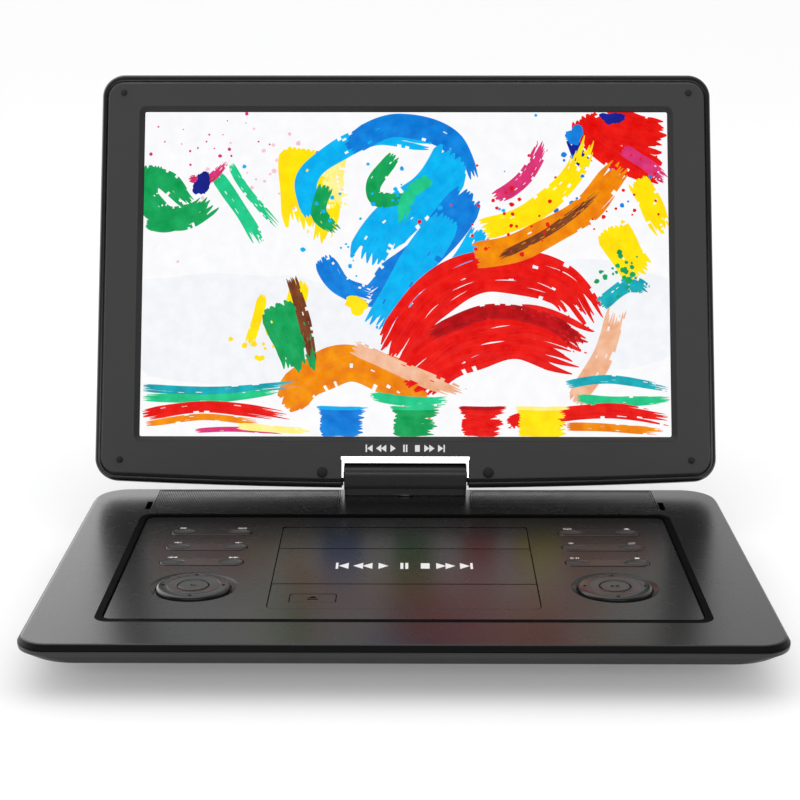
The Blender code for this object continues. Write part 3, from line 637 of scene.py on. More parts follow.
def make_bezel():
    """Dark rim, matt face and the bevel of the window, each a list of (out, inset)."""
    rim = [(0.25, 0.35), (0.6, 0.08), (1.2, 0.0), (3.2, 0.0), (4.2, 0.25), (4.9, 0.8), (5.3, 1.5),
           (5.45, 2.3), (5.3, 2.9), (4.5, 3.2)]
    face = [(4.4, 3.7), (6.4, 4.05), (6.9, 4.15), (7.2, 4.4), (7.36, 4.75), (FACE_OUT, 5.2)]
    window = [(FACE_OUT, 3.1), (7.3, 2.8), (7.0, 2.5), (5.4, 0.45), (5.15, 0.15), (4.9, 0.05)]
    rings = [lid_edge(out, inset) for out, inset in rim + face]
    rings += [window_edge(out, grow) for out, grow in window]
    rings += [window_edge(4.6, 0.0), window_edge(4.6, 6.5), window_edge(0.25, 6.5)]
    # Bands: rim, face, then the window's bevel in the darker bevel material (painted shade), and its
    # innermost strip and the pocket in the near-black groove material (a painted shadow line at the
    # screen's edge).
    bands = [0] * (len(rim) + 1) + [1] * (len(face) - 1) + [3] * 4 + [2] * (len(window) - 1)
    bezel = loft("bezel", rings, ["rim", "bezel", "groove", "bevel"], bands, closed=True, matrix=LID_MATRIX)
    carve(bezel, lid_tools())
    fit(bezel, "lid", "bezel_plastic", "lid_bezel")


def make_rear_cover():
    profile = [(-0.25, 0.35), (-0.6, 0.08), (-1.2, 0.0), (-3.2, 0.1), (-4.4, 0.5), (-5.5, 1.3),
               (-6.4, 2.4), (-7.0, 3.5), (-7.3, 4.6), (-7.4, 6.0)]
    rings = [lid_edge(out, inset) for out, inset in profile]
    inner = [lid_ring(out, LID_HALF - 4.0, 14.0, LID_TOP - 5.0, 8.0) for out in (-5.4, -0.25)]
    cover = loft("rear_cover", inner + rings, ["back"], matrix=LID_MATRIX)
    carve(cover, lid_tools())
    fit(cover, "lid", "rear_plastic", "lid_rear_cover")


# ---- Base: shell and top cover ----
def make_case():
    lip_radius = CORNER["lip"] - CORNER["front"]
    crease = base_ring(BAND_Z, 0.5)
    lip = base_ring(lip_height, 2.0, lip_radius)
    turn = base_ring(lambda y: lip_height(y) - 0.5, 3.4, lip_radius)
    floor = floor_ring(FLOOR_Z, 0.0)
    rings = [
        floor_ring(FLOOR_Z + WALL, WALL),
        base_ring(lambda y: lip_height(y) + WALL, 1.2 + WALL, lip_radius),
        base_ring(BAND_Z, 0.4 + WALL),
        base_ring(RIM_Z, WALL),
        base_ring(RIM_Z, 0.7),
        base_ring(RIM_Z - 0.12, 0.25),
        base_ring(RIM_Z - 0.5, 0.05),
        base_ring(BAND_Z + 0.35, 0.3),
        crease,
        between(crease, lip, 0.1),
        between(crease, lip, 0.8),
        between(crease, lip, 0.96),
        lip,
        turn,
        between(turn, floor, 0.05),
        between(turn, floor, 0.35),
        between(turn, floor, 0.65),
        between(turn, floor, 0.94),
        between(between(turn, floor, 0.98), floor_ring(FLOOR_Z, 0.6), 0.6),
        floor_ring(FLOOR_Z, 1.6),
    ]
    # The bands below the crease take the darker belly material: painted shade.
    bands = [0] * 9 + [1] * (len(rings) - 10)
    shell = loft("case_shell", rings, ["shell", "belly"], bands)
    tools = []
    for side in (-1, 1):
        for y in BOSS_Y:
            tools.append(cylinder("counterbore", 3.4, (side * BOSS_X, y, 4.0), 5.2, sides=32))
    through = (PORT_X - 1.0, HALF_WIDTH + 5.0)
    for node in ("usb_socket", "card_reader"):
        low, high = span(node)
        port_y = (low.y - 0.3, high.y + 0.3)
        port_z = (low.z - 0.3, high.z + 0.3)
        tools.append(box("port", through, port_y, port_z, radius=0.8, along="x"))
    for node in ("headphone_jack", "av_jack", "dc_jack"):
        centre = middle(node)
        place = (sum(through) / 2, centre.y, centre.z)
        tools.append(cylinder("port", 4.3, place, through[1] - through[0], "x", sides=40))
    switch_y = (-63.0, -53.0)
    switch_z = (15.7, 19.1)
    tools.append(box("switch_slot", through, switch_y, switch_z, radius=0.8, along="x"))
    carve(shell, tools)
    carve(shell, underside_tools())
    fit(shell, "base", "shell_plastic", "lower_shell")


def underside_tools():
    """Battery cover seam, two rows of vents and the finger notch of the cover."""
    seam = [
        lifted(outline(42.0 + grow, -52.0 - grow, 50.0 + grow, 6.0 + grow, 6.0 + grow), z)
        for grow, z in ((0.0, 1.0), (0.0, 3.0), (0.6, 3.0), (0.6, 1.0))
    ]
    tools = [loft("seam", seam, ["groove"], closed=True)]
    tools.append(box("finger_notch", (-9.0, 9.0), (-50.0, -44.0), (1.0, 3.3), radius=2.8))
    for side in (-1, 1):
        for row in range(9):
            y = 60.0 - row * 4.6
            tools.append(box("vent", centred(side * 88.0, 34.0), centred(y, 1.8), (1.0, 3.4), radius=0.85))
    return tools


def cover_edge(inset):
    front_radius = CORNER["front"] - inset
    rear_radius = CORNER["rear"] - inset
    return outline(HALF_WIDTH - inset, FRONT + inset, REAR - inset, front_radius, rear_radius)


def make_cover():
    profile = [(COVER_EDGE_Z, 2.0), (COVER_EDGE_Z, 0.3), (24.4, 0.1), (24.55, 0.15), (26.3, 1.45),
               (26.65, 1.75), (26.85, 2.1), (26.96, 2.6), (TOP_Z, 3.2)]
    cover = plate("top_case", cover_edge, profile, ["cover", "edge"])
    for face in cover.data.polygons:
        face.material_index = 1 if face.normal.z < 0.75 else 0
    ledge_x = (-LEDGE_HALF, LEDGE_HALF)
    ledge = box("ledge", ledge_x, along(LEDGE_BEHIND), (22.9, COVER_EDGE_Z + 0.3), "cover", 6.0)
    carve(cover, [ledge], "UNION")
    # The sunk frame round the panel, from its floor up and outwards, in the near-black groove material:
    # painted shade.
    recess = [
        lifted(outline(half, behind(front), behind(rear), radius, radius), z)
        for half, front, rear, radius, z in (
            (141.7, 33.0, 192.1, 5.0, 24.4),
            (141.7, 33.0, 192.1, 5.0, 26.7),
            (142.0, 32.8, 192.4, 5.2, 26.88),
            (145.1, 28.4, 194.7, 7.2, 26.96),
            (145.4, 28.2, 195.0, 7.3, 27.1),
        )
    ]
    tools = [loft("recess", recess, ["groove"])]
    opening_x = (-OPENING_HALF, OPENING_HALF)
    tools.append(box("opening", opening_x, along(OPENING_BEHIND), (20.0, 26.0), radius=4.0))
    tools.append(cylinder("post_hole", 4.4, (0.0, HINGE.y / MM, TOP_Z), 12.0))
    for side in (-1, 1):
        slot_x = sorted(side * x for x in SIDE_SLOT_X)
        tools.append(box("slot", slot_x, along(SIDE_SLOT_BEHIND), (20.0, 30.0)))
        seat_x = sorted(side * x for x in SPEAKER_X)
        tools.append(box("seat", seat_x, along(SPEAKER_BEHIND), (24.9, 30.0)))
        near, far = SPEAKER_BEHIND
        hole_x = sorted((side * (SPEAKER_X[0] + 3.0), side * (SPEAKER_X[1] - 3.0)))
        tools.append(box("sound_hole", hole_x, along((near + 3.0, far - 3.0)), (20.0, 30.0)))
    carve(cover, tools)
    fit(cover, "base", "cover_plastic", "top_cover")


def make_grille(side, node):
    """A thin plate with staggered oval holes, inside a solid border, over a dark cloth."""
    low, high = span(node)
    pitch = 1.35
    hole = 0.52
    stretch = 2.2
    border = 0.35
    turns = [math.radians(30 + 60 * k) for k in range(6)]
    cell = pitch / math.sqrt(3)
    bm = bmesh.new()
    row = 0
    y = low.y + border + cell * stretch
    while y < high.y - border - cell * stretch:
        x = low.x + border + pitch / 2 * (1 + row % 2)
        while x < high.x - border - pitch / 2:
            outer = None
            for radius, z in ((cell, high.z), (hole, high.z), (hole, high.z - 0.5)):
                ring = [
                    bm.verts.new((x + radius * math.cos(a), y + stretch * radius * math.sin(a), z))
                    for a in turns
                ]
                if outer:
                    for k in range(6):
                        bm.faces.new((outer[k], outer[(k + 1) % 6], ring[(k + 1) % 6], ring[k]))
                outer = ring
            x += pitch
        y += pitch * math.sqrt(3) / 2 * stretch
        row += 1
    mesh_part = as_piece(f"grille_mesh_{side}", bm, ["grille"])

    middle_x = (low.x + high.x) / 2
    half = (high.x - low.x) / 2
    edge = []
    for inset, z in ((0.0, low.z), (0.0, high.z - 0.1), (0.1, high.z), (2 * border, high.z),
                     (2 * border, low.z)):
        points = outline(half - inset, low.y + inset, high.y - inset, 0.4, 0.4)
        edge.append([(x + middle_x, y, z) for x, y in points])
    frame_part = loft(f"grille_frame_{side}", edge, ["grille"], closed=True)
    cloth_x = (low.x + 0.3, high.x - 0.3)
    cloth_y = (low.y + 0.3, high.y - 0.3)
    cloth = box(f"grille_cloth_{side}", cloth_x, cloth_y, (low.z, low.z + 0.3))
    for piece in (mesh_part, frame_part, cloth):
        fit(piece, "base", "grille_plastic", node)


# ---- Control panel, disc door and keys ----
def panel_edge(inset):
    front, rear = along(PANEL_BEHIND)
    return outline(PANEL_HALF - inset, front + inset, rear - inset, 5.0 - inset, 5.0 - inset)


def make_panel():
    top = PANEL_TOP
    profile = [(24.75, 0.2), (24.85, 0.0), (top - 0.25, 0.0), (top - 0.07, 0.08), (top, 0.3)]
    panel = plate("key_panel", panel_edge, profile, ["panel"])
    dish = [(0, 27.0), (22.6, 27.0), (21.75, 26.1), (21.5, 25.75), (20.2, 25.2), (18.95, 24.9),
            (18.8, 24.6), (18.8, 22.95), (0, 22.95)]
    joins = []
    tools = []
    for side in (-1, 1):
        x = side * KEYS_X
        for distance in ROCKERS_BEHIND:
            y = behind(distance)
            joins.append(box("cup", centred(x, 47.6), centred(y, 15.5), (21.95, 25.0), "panel", 7.7))
            seat = (centred(x, 43.6), centred(y, 11.5), (22.95, 27.0))
            tools.append(box("seat", *seat, "panel", 5.7, steps=12))
        y = behind(DPAD_BEHIND)
        joins.append(cylinder("cup", 23.2, (x, y, 23.5), 3.1, material="panel", sides=64))
        tools.append(turned("dish", dish, (x, y, 0.0), ["panel"], sides=96))
        tools.append(cylinder("hole", 8.2, (x, y, 22.0), 6.0))
    carve(panel, joins, "UNION")
    front, rear = along(DOOR_OPENING_BEHIND)
    tools.append(prism("opening", outline(DOOR_HALF + 0.4, front, rear, 4.3, 1.0), (20.0, 30.0)))
    carve(panel, tools)
    fit(panel, "base", "panel_plastic", "control_panel")


def door_edge(inset):
    front, rear = along(DOOR_BEHIND)
    return outline(DOOR_HALF - inset, front + inset, rear - inset, 4.0 - inset, 2.0 - inset)


def tab_edge(inset):
    front, rear = along(TAB_BEHIND)
    points = outline(11.1 - inset, front + inset, rear - inset, 0.4, 1.5)
    return [(x + TAB_X, y) for x, y in points]


def make_door():
    """The door with its two grooves, hinge knuckles and ribs, and the open button let into it."""
    top = PANEL_TOP
    profile = [(24.75, 0.2), (24.9, 0.0), (top - 0.25, 0.0), (top - 0.07, 0.08), (top, 0.3)]
    door = plate("door_plate", door_edge, profile, ["panel"])
    tools = []
    for distance in DOOR_GROOVES_BEHIND:
        y = behind(distance)
        section = [(y - 0.55, top + 0.2), (y - 0.3, top - 0.5), (y + 0.3, top - 0.5), (y + 0.55, top + 0.2)]
        rings = [[(x, back, z) for back, z in section] for x in (-70.0, 70.0)]
        tools.append(loft("groove", rings, ["groove"]))
    tab_opening = outline(11.5, behind(57.6), behind(69.6), 0.3, 1.8)
    tools.append(prism("tab_opening", [(x + TAB_X, y) for x, y in tab_opening], (20.0, 30.0)))
    carve(door, tools)
    joins = []
    for side in (-1, 1):
        joins.append(cylinder("knuckle", 1.25, (side * 48.0, 12.0, 24.0), 16.0, "x", "panel"))
        for x in (side * 24.0, side * 61.0):
            joins.append(box("rib", centred(x, 1.0), along(RIBS_BEHIND), (23.9, 24.9), "inner"))
    for distance in RIBS_BEHIND:
        rib_y = centred(behind(distance), 1.0)
        joins.append(box("rib", (-61.5, 61.5), rib_y, (23.9, 24.9), "inner"))
    carve(door, joins, "UNION")
    fit(door, "disc_door", "door_plastic", "disc_door")

    profile = [(24.75, 0.0), (top - 0.25, 0.0), (top - 0.07, 0.08), (top, 0.25)]
    tab = plate("open_tab", tab_edge, profile, ["panel"])
    fit(tab, "open_button", "door_plastic", "open_button")


def make_rocker(side, word, number, distance):
    """A long key that rocks on a ridge under its middle, with a spoon-shaped hollow at each end."""
    x = side * KEYS_X
    y = behind(distance)
    top = 26.35

    def edge(inset):
        radius = 5.3 - inset
        points = outline(21.35 - inset, inset - 5.35, 5.35 - inset, radius, radius)
        return [(x + across, y + back) for across, back in points]

    profile = [(24.3, 0.3), (24.5, 0.0), (top - 0.6, 0.0), (top - 0.25, 0.12), (top - 0.06, 0.4),
               (top, 0.9)]
    rocker = plate(f"rocker_key_{word}_{number}", edge, profile, ["key"])
    ridge = cylinder("ridge", 1.05, (x, y, 24.3), 8.5, "y", "key", sides=24)
    carve(rocker, [ridge], "UNION")
    spoons = []
    for end in (-1, 1):
        bm = bmesh.new()
        bmesh.ops.create_uvsphere(bm, u_segments=48, v_segments=24, radius=1.0)
        bmesh.ops.scale(bm, vec=(6.5, 4.6, 1.3), verts=bm.verts)
        bmesh.ops.translate(bm, vec=(x + end * 14.6, y, 26.7), verts=bm.verts)
        spoons.append(as_piece("spoon", bm, ["key"]))
    carve(rocker, spoons)
    node = f"rocker_{word}_{number}"
    fit(rocker, node, "key_plastic", node)


def make_dpad(side, word):
    """A round pad with four arrows, and a button with a symbol in its middle."""
    place = (side * KEYS_X, behind(DPAD_BEHIND), 0.0)
    ring = [(7.85, 24.0), (7.85, 26.5), (8.0, 26.75), (8.4, 26.86), (12.7, 26.98), (12.9, 26.8),
            (13.1, 26.8), (13.3, 26.97), (16.9, 26.85), (17.7, 26.6), (18.15, 26.15), (18.3, 25.6),
            (18.3, 24.1), (18.2, 24.0), (7.85, 24.0)]
    ring_body = f"dpad_ring_{word}"
    pad = turned(f"pad_ring_{word}", ring, place, ["key"], sides=96)
    fit(pad, ring_body, "key_plastic", ring_body)
    button = [(0, 26.72), (4.5, 26.8), (6.6, 26.92), (7.1, 26.88), (7.35, 26.7), (7.45, 26.4),
              (7.45, 24.75), (0, 24.75)]
    centre_body = f"dpad_centre_{word}"
    centre = turned(f"pad_centre_{word}", button, place, ["key"], sides=64)
    fit(centre, centre_body, "key_plastic", centre_body)
    where = Matrix.Translation((place[0] * MM, place[1] * MM, 0.0))
    for step in range(4):
        turn = where @ Matrix.Rotation(math.pi / 2 * step, 4, "Z")
        arrow = decal(f"pad_arrow_{word}_{step}", icon_shapes("play"), (15.2, 0.0), (1.1, 1.3),
                      26.6, 26.94, "groove", turn)
        fit(arrow, ring_body, "key_plastic")
    symbol = "play_pause" if side > 0 else "enter"
    mark = decal(f"pad_symbol_{word}", icon_shapes(symbol), (0.0, 0.0), (1.2, 1.4),
                 26.5, 26.83, "groove", where)
    fit(mark, centre_body, "key_plastic")


# ---- Symbols ----
def bar(x, y, width, height):
    right = x + width / 2
    left = x - width / 2
    upper = y + height / 2
    lower = y - height / 2
    return [(left, lower), (right, lower), (right, upper), (left, upper)]


def wedge(x, y, size, facing=1):
    """A triangle that points right or left."""
    base = x - facing * size / 2
    return [(base, y - size / 2), (x + facing * size / 2, y), (base, y + size / 2)]


def hollow(width, height, line):
    """The four sides of a rectangular frame."""
    inner = height - 2 * line
    return [bar(0, (height - line) / 2, width, line), bar(0, (line - height) / 2, width, line),
            bar((width - line) / 2, 0, line, inner), bar((line - width) / 2, 0, line, inner)]


def icon_shapes(name):
    """Generic control symbols as polygons, about two units tall."""
    speaker = [bar(-1.0, 0, 0.6, 0.9), [(-0.6, -0.4), (0.3, -1.0), (0.3, 1.0), (-0.6, 0.4)]]
    teeth = [bar(x, y, 0.4, 0.4) for x, y in ((0, 0.95), (0, -0.95), (0.95, 0), (-0.95, 0))]
    icons = {
        "play": [wedge(0, 0, 2)],
        "pause": [bar(-0.5, 0, 0.6, 2), bar(0.5, 0, 0.6, 2)],
        "play_pause": [wedge(-0.9, 0, 1.7), bar(0.6, 0, 0.4, 1.8), bar(1.4, 0, 0.4, 1.8)],
        "stop": [bar(0, 0, 1.8, 1.8)],
        "next": [wedge(-1.0, 0, 2), wedge(0.9, 0, 2)],
        "previous": [wedge(1.0, 0, 2, -1), wedge(-0.9, 0, 2, -1)],
        "last": [wedge(-0.4, 0, 2), bar(0.95, 0, 0.5, 2)],
        "first": [wedge(0.4, 0, 2, -1), bar(-0.95, 0, 0.5, 2)],
        "eject": [[(-1.1, -0.1), (1.1, -0.1), (0, 1.1)], bar(0, -0.75, 2.2, 0.5)],
        "menu": [bar(0, 0.75, 2.4, 0.35), bar(0, 0, 2.4, 0.35), bar(0, -0.75, 2.4, 0.35)],
        "caption": hollow(3.2, 2.2, 0.25) + [bar(0, -0.5, 2.2, 0.3)],
        "screen": hollow(3.2, 2.0, 0.25) + [bar(0, -1.3, 1.6, 0.25)],
        "sound": speaker + [bar(0.8, 0, 0.25, 1.0), bar(1.3, 0, 0.25, 1.7)],
        "mute": speaker + [bar(1.1, 0, 0.9, 0.3)],
        "settings": hollow(1.3, 1.3, 0.3) + teeth,
        "repeat": [bar(0, 0.8, 2.4, 0.3), bar(0, -0.8, 2.4, 0.3), wedge(1.1, 0.8, 1.1),
                   wedge(-1.1, -0.8, 1.1, -1)],
        "enter": [bar(-0.9, 0.5, 0.35, 1.0), bar(0.2, 0.0, 2.3, 0.35)],
    }
    return icons[name]


def decal(name, shapes, place, scale, low, high, material, matrix=None):
    """Thin raised polygons, used for printed and moulded symbols."""
    bm = bmesh.new()
    for points in shapes:
        rings = [[bm.verts.new((place[0] + x * scale[0], place[1] + y * scale[1], z)) for x, y in points]
                 for z in (low, high)]
        count = len(points)
        for i in range(count):
            j = (i + 1) % count
            bm.faces.new((rings[0][i], rings[0][j], rings[1][j], rings[1][i]))
        bm.faces.new(rings[0])
        bm.faces.new(rings[1])
    return as_piece(name, bm, [material], matrix)


def make_symbols():
    """White symbols over the keys, along the door and under the display."""
    low = PANEL_TOP - 0.05
    high = PANEL_TOP + SYMBOL_RELIEF
    labels = {
        "left": (("menu", "caption"), ("sound", "mute"), ("previous", "next")),
        "right": (("screen", "eject"), ("settings", "repeat"), ("play_pause", "stop")),
    }
    for side, word in ((-1, "left"), (1, "right")):
        for row, (pair, distance) in enumerate(zip(labels[word], ROCKERS_BEHIND)):
            for end, symbol in zip((-1, 1), pair):
                place = (side * KEYS_X + end * 16.0, behind(distance) + 7.7)
                name = f"label_{symbol}_{row}_{word}"
                mark = decal(name, icon_shapes(symbol), place, (1.3, 0.95), low, high, "ink")
                fit(mark, "base", "panel_plastic")
    row = ("first", "previous", "play", "pause", "stop", "next", "last")
    face_down = LID_MATRIX @ Matrix.Rotation(math.pi / 2, 4, "X")
    for number, symbol in enumerate(row):
        offset = number - (len(row) - 1) / 2
        shapes = icon_shapes(symbol)
        place = (offset * 10.6, behind(111.0))
        mark = decal(f"door_symbol_{number}", shapes, place, (2.5, 4.6), low, high, "ink")
        fit(mark, "disc_door", "door_plastic")
        place = (offset * 6.9, 15.7)
        mark = decal(f"bezel_symbol_{number}", shapes, place, (1.5, 2.1), FACE_OUT - 0.05,
                     FACE_OUT + SYMBOL_RELIEF, "ink", face_down)
        fit(mark, "lid", "bezel_plastic")
    place = (TAB_X, behind(63.6))
    mark = decal("open_symbol", icon_shapes("eject"), place, (2.4, 2.4), low, PANEL_TOP + 0.02, "groove")
    fit(mark, "open_button", "door_plastic")


# ---- Picture on the display ----
class Painting:
    """Loose brush strokes on white, in the display's plane: x across, v up from its lower edge."""

    def __init__(self):
        self.rng = random.Random(7)
        self.height = SCREEN_OUT + 0.02
        self.count = 0

    def keep(self, bm, tone):
        self.count += 1
        self.height += 0.004
        piece = as_piece(f"paint_{self.count:03d}_{tone}", bm, [tone], LID_MATRIX)
        fit(piece, "lid", "display")

    def vertex(self, bm, x, v):
        x = min(max(x, -SCREEN_HALF), SCREEN_HALF)
        v = min(max(v, 0.0), SCREEN_UP[1] - SCREEN_UP[0])
        return bm.verts.new((x, -self.height, SCREEN_UP[0] + v))

    def stroke(self, tone, points, width, bristles=8, dryness=0.12):
        """A stroke through some points. Its bristles start, stop and skip at different places."""
        rng = self.rng
        path = smooth(points, 14)
        bm = bmesh.new()
        for k in range(bristles):
            share = (k + 0.5) / bristles - 0.5
            thick = width / bristles * rng.uniform(1.2, 1.9)
            wobble = rng.uniform(0.0, 6.0)
            first = int(len(path) * rng.uniform(0.0, 0.14) * abs(share) * 2)
            last = len(path) - int(len(path) * rng.uniform(0.0, 0.3) * (0.4 + abs(share)))
            previous = None
            for i in range(first, last):
                x, v, nx, nv = path[i]
                ends = min(1.0, (i - first + 1) / 4.0, (last - i) / 6.0)
                offset = share * width * 0.9 + 0.03 * width * math.sin(i * 0.35 + wobble)
                half = thick / 2 * ends
                dry = rng.random() < dryness * (0.1 + 2.0 * abs(share)) * i / len(path)
                pair = []
                for reach in (offset - half, offset + half):
                    pair.append(self.vertex(bm, x + nx * reach, v + nv * reach))
                if previous and not dry:
                    bm.faces.new((previous[0], pair[0], pair[1], previous[1]))
                previous = pair
        self.keep(bm, tone)

    def blob(self, tone, x, v, width, height, roughness):
        """A splash with a ragged edge."""
        rng = self.rng
        corners = 44
        bm = bmesh.new()
        phase = [rng.uniform(0, 6.28) for _ in range(4)]
        ring = []
        for k in range(corners):
            turn = 2 * math.pi * k / corners
            swell = sum(math.sin(turn * (n + 2) + phase[n]) / (n + 1.5) for n in range(4))
            reach = 1.0 + roughness * swell + rng.uniform(-0.5, 0.5) * roughness * 0.6
            across = width / 2 * reach * math.cos(turn)
            up = height / 2 * reach * math.sin(turn)
            ring.append(self.vertex(bm, x + across, v + up))
        centre = self.vertex(bm, x, v)
        for k in range(corners):
            bm.faces.new((ring[k], ring[(k + 1) % corners], centre))
        self.keep(bm, tone)

    def spatter(self, tone, x, v, reach, count, size):
        """Small drops scattered round a place."""
        rng = self.rng
        bm = bmesh.new()
        for _ in range(count):
            px = x + rng.gauss(0, reach)
            pv = v + rng.gauss(0, reach * 0.8)
            radius = size * rng.uniform(0.3, 1.0)
            ring = []
            for step in range(7):
                turn = 0.9 * step
                across = radius * math.cos(turn) * rng.uniform(0.7, 1.3)
                ring.append(self.vertex(bm, px + across, pv + radius * math.sin(turn)))
            bm.faces.new(ring)
        self.keep(bm, tone)


def smooth(points, steps):
    """A Catmull-Rom curve through the points, as (x, v, normal x, normal v)."""
    padded = [points[0]] + list(points) + [points[-1]]
    curve = []
    for a, b, c, d in zip(padded, padded[1:], padded[2:], padded[3:]):
        for step in range(steps):
            t = step / steps
            curve.append(tuple(
                0.5 * (2 * q + (r - p) * t + (2 * p - 5 * q + 4 * r - s) * t * t
                       + (3 * q - p - 3 * r + s) * t ** 3)
                for p, q, r, s in zip(a, b, c, d)
            ))
    curve.append(tuple(points[-1]))
    path = []
    for i, (x, v) in enumerate(curve):
        before = curve[max(i - 1, 0)]
        after = curve[min(i + 1, len(curve) - 1)]
        dx = after[0] - before[0]
        dv = after[1] - before[1]
        size = math.hypot(dx, dv) or 1.0
        path.append((x, v, -dv / size, dx / size))
    return path


def make_picture():
    art = Painting()
    bm = bmesh.new()
    high = SCREEN_UP[1] - SCREEN_UP[0]
    corners = [(-SCREEN_HALF, 0), (SCREEN_HALF, 0), (SCREEN_HALF, high), (-SCREEN_HALF, high)]
    bm.faces.new([art.vertex(bm, x, v) for x, v in corners])
    art.keep(bm, "paper")
    art.blob("haze", -90, 62, 170, 70, 0.1)
    art.blob("haze", 110, 70, 130, 60, 0.1)

    # Green, navy and pink on the left.
    art.stroke("green", [(-151, 152), (-138, 148), (-124, 134)], 12)
    art.stroke("green", [(-148, 158), (-150, 140), (-140, 128), (-124, 128), (-112, 138)], 15)
    art.stroke("green", [(-150, 124), (-138, 122), (-118, 130)], 8)
    art.stroke("jade", [(-110, 152), (-96, 132), (-84, 112)], 8)
    art.stroke("jade", [(-102, 158), (-90, 140), (-74, 122)], 5, dryness=0.4)
    art.stroke("pink", [(-126, 150), (-114, 150), (-104, 160)], 5)
    art.blob("navy", -118, 147, 9, 14, 0.25)
    art.spatter("pink", -108, 168, 16, 22, 1.2)
    art.spatter("rose", -70, 150, 26, 26, 1.6)

    # Yellow.
    art.stroke("yellow", [(-60, 168), (-62, 150), (-58, 120)], 24)
    art.stroke("yellow", [(-66, 150), (-48, 140), (-50, 112)], 18)
    art.stroke("straw", [(-40, 168), (-42, 150), (-38, 132)], 12, dryness=0.9)
    art.stroke("yellow", [(-82, 82), (-86, 66), (-90, 52)], 6)
    art.stroke("yellow", [(-60, 90), (-66, 70), (-74, 50)], 12)
    art.spatter("yellow", -78, 56, 9, 24, 2.2)

    # Blue swirl.
    art.stroke("sky", [(-54, 128), (-58, 148), (-44, 164), (-16, 176), (14, 172)], 13)
    art.stroke("blue", [(-34, 168), (-6, 182), (26, 172), (36, 148)], 15)
    art.stroke("sky", [(30, 164), (12, 140), (-12, 120), (-22, 98)], 26)
    art.stroke("blue", [(38, 142), (16, 112), (-8, 90), (-24, 78)], 22)
    art.stroke("sky", [(24, 128), (4, 96), (-16, 62)], 20)
    art.stroke("blue", [(-48, 104), (-38, 88), (-20, 80)], 13)
    art.stroke("sky", [(44, 120), (26, 92), (2, 76)], 14, dryness=0.7)
    art.stroke("green", [(-46, 146), (-50, 130), (-40, 118)], 9)
    art.stroke("green", [(-6, 164), (-18, 148), (-16, 138), (2, 140)], 9)
    art.stroke("jade", [(14, 150), (2, 140), (-4, 124)], 8)
    art.spatter("sky", -6, 120, 34, 60, 1.5)
    art.blob("yellow", -28, 76, 14, 9, 0.3)

    # Red and blue in the top right corner.
    art.stroke("red", [(104, 188), (112, 172), (132, 160), (150, 152)], 20)
    art.stroke("red", [(114, 184), (134, 178), (151, 174)], 22)
    art.stroke("pink", [(126, 168), (140, 158), (151, 150)], 8)
    art.stroke("navy", [(96, 176), (100, 164), (106, 158)], 8)
    art.blob("blue", 98, 176, 11, 10, 0.3)
    art.blob("navy", 120, 186, 12, 8, 0.3)
    art.stroke("yellow", [(118, 122), (128, 104), (138, 92)], 20)
    art.stroke("yellow", [(134, 150), (142, 134), (150, 118)], 14)
    art.spatter("blue", 110, 150, 12, 26, 1.8)
    art.spatter("red", 118, 146, 18, 34, 1.4)

    # Broad warm strokes over the middle.
    art.stroke("orange", [(-70, 18), (-54, 34), (-30, 42), (0, 30), (20, 12)], 22)
    art.stroke("green", [(-76, 76), (-66, 58), (-60, 36)], 22)
    art.stroke("rust", [(-66, 92), (-58, 66), (-54, 44)], 7, dryness=0.4)
    art.stroke("red", [(-8, 46), (12, 78), (48, 96), (88, 88), (108, 62)], 26, 12)
    art.stroke("red", [(0, 30), (30, 52), (66, 60), (104, 48)], 34, 14)
    art.stroke("crimson", [(14, 58), (46, 72), (84, 66), (100, 50)], 9, dryness=0.3)
    art.stroke("orange", [(40, 104), (70, 112), (104, 132), (126, 158)], 17)
    art.stroke("yellow", [(44, 120), (72, 130), (96, 152), (106, 176)], 13, dryness=0.3)
    art.stroke("rust", [(54, 104), (84, 120), (112, 142)], 5, dryness=0.5)
    art.stroke("pink", [(52, 138), (70, 152), (80, 172)], 9, dryness=0.4)
    art.stroke("peach", [(-30, 52), (4, 36), (34, 24)], 9, dryness=0.3)
    art.stroke("jade", [(-20, 24), (2, 20), (24, 21)], 6)
    art.stroke("peach", [(96, 20), (112, 44), (122, 74)], 12, dryness=0.3)
    art.stroke("teal", [(112, 76), (128, 88), (140, 84)], 9, dryness=0.3)
    art.spatter("green", 124, 96, 8, 24, 2.0)
    art.spatter("red", 60, 118, 22, 40, 1.6)

    # Strokes along the floor.
    art.stroke("teal", [(-150, 28), (-110, 26), (-62, 30)], 5)
    art.stroke("jade", [(-150, 22), (-104, 22), (-72, 27)], 5)
    art.stroke("red", [(-150, 12), (-112, 17), (-66, 11)], 7)
    art.stroke("orange", [(-148, 7), (-116, 11), (-84, 8)], 4)
    art.stroke("pink", [(-120, 3), (-96, 4), (-70, 2)], 3)
    art.stroke("straw", [(-96, 6), (-72, 4), (-54, 3)], 4)
    art.stroke("teal", [(92, 30), (118, 33), (150, 28)], 5)
    art.stroke("jade", [(98, 22), (124, 20), (151, 22)], 6)
    art.stroke("red", [(86, 12), (116, 15), (151, 10)], 9)
    art.stroke("orange", [(92, 6), (120, 5), (148, 3)], 5)
    art.stroke("red", [(58, 8), (76, 11), (92, 7)], 8)

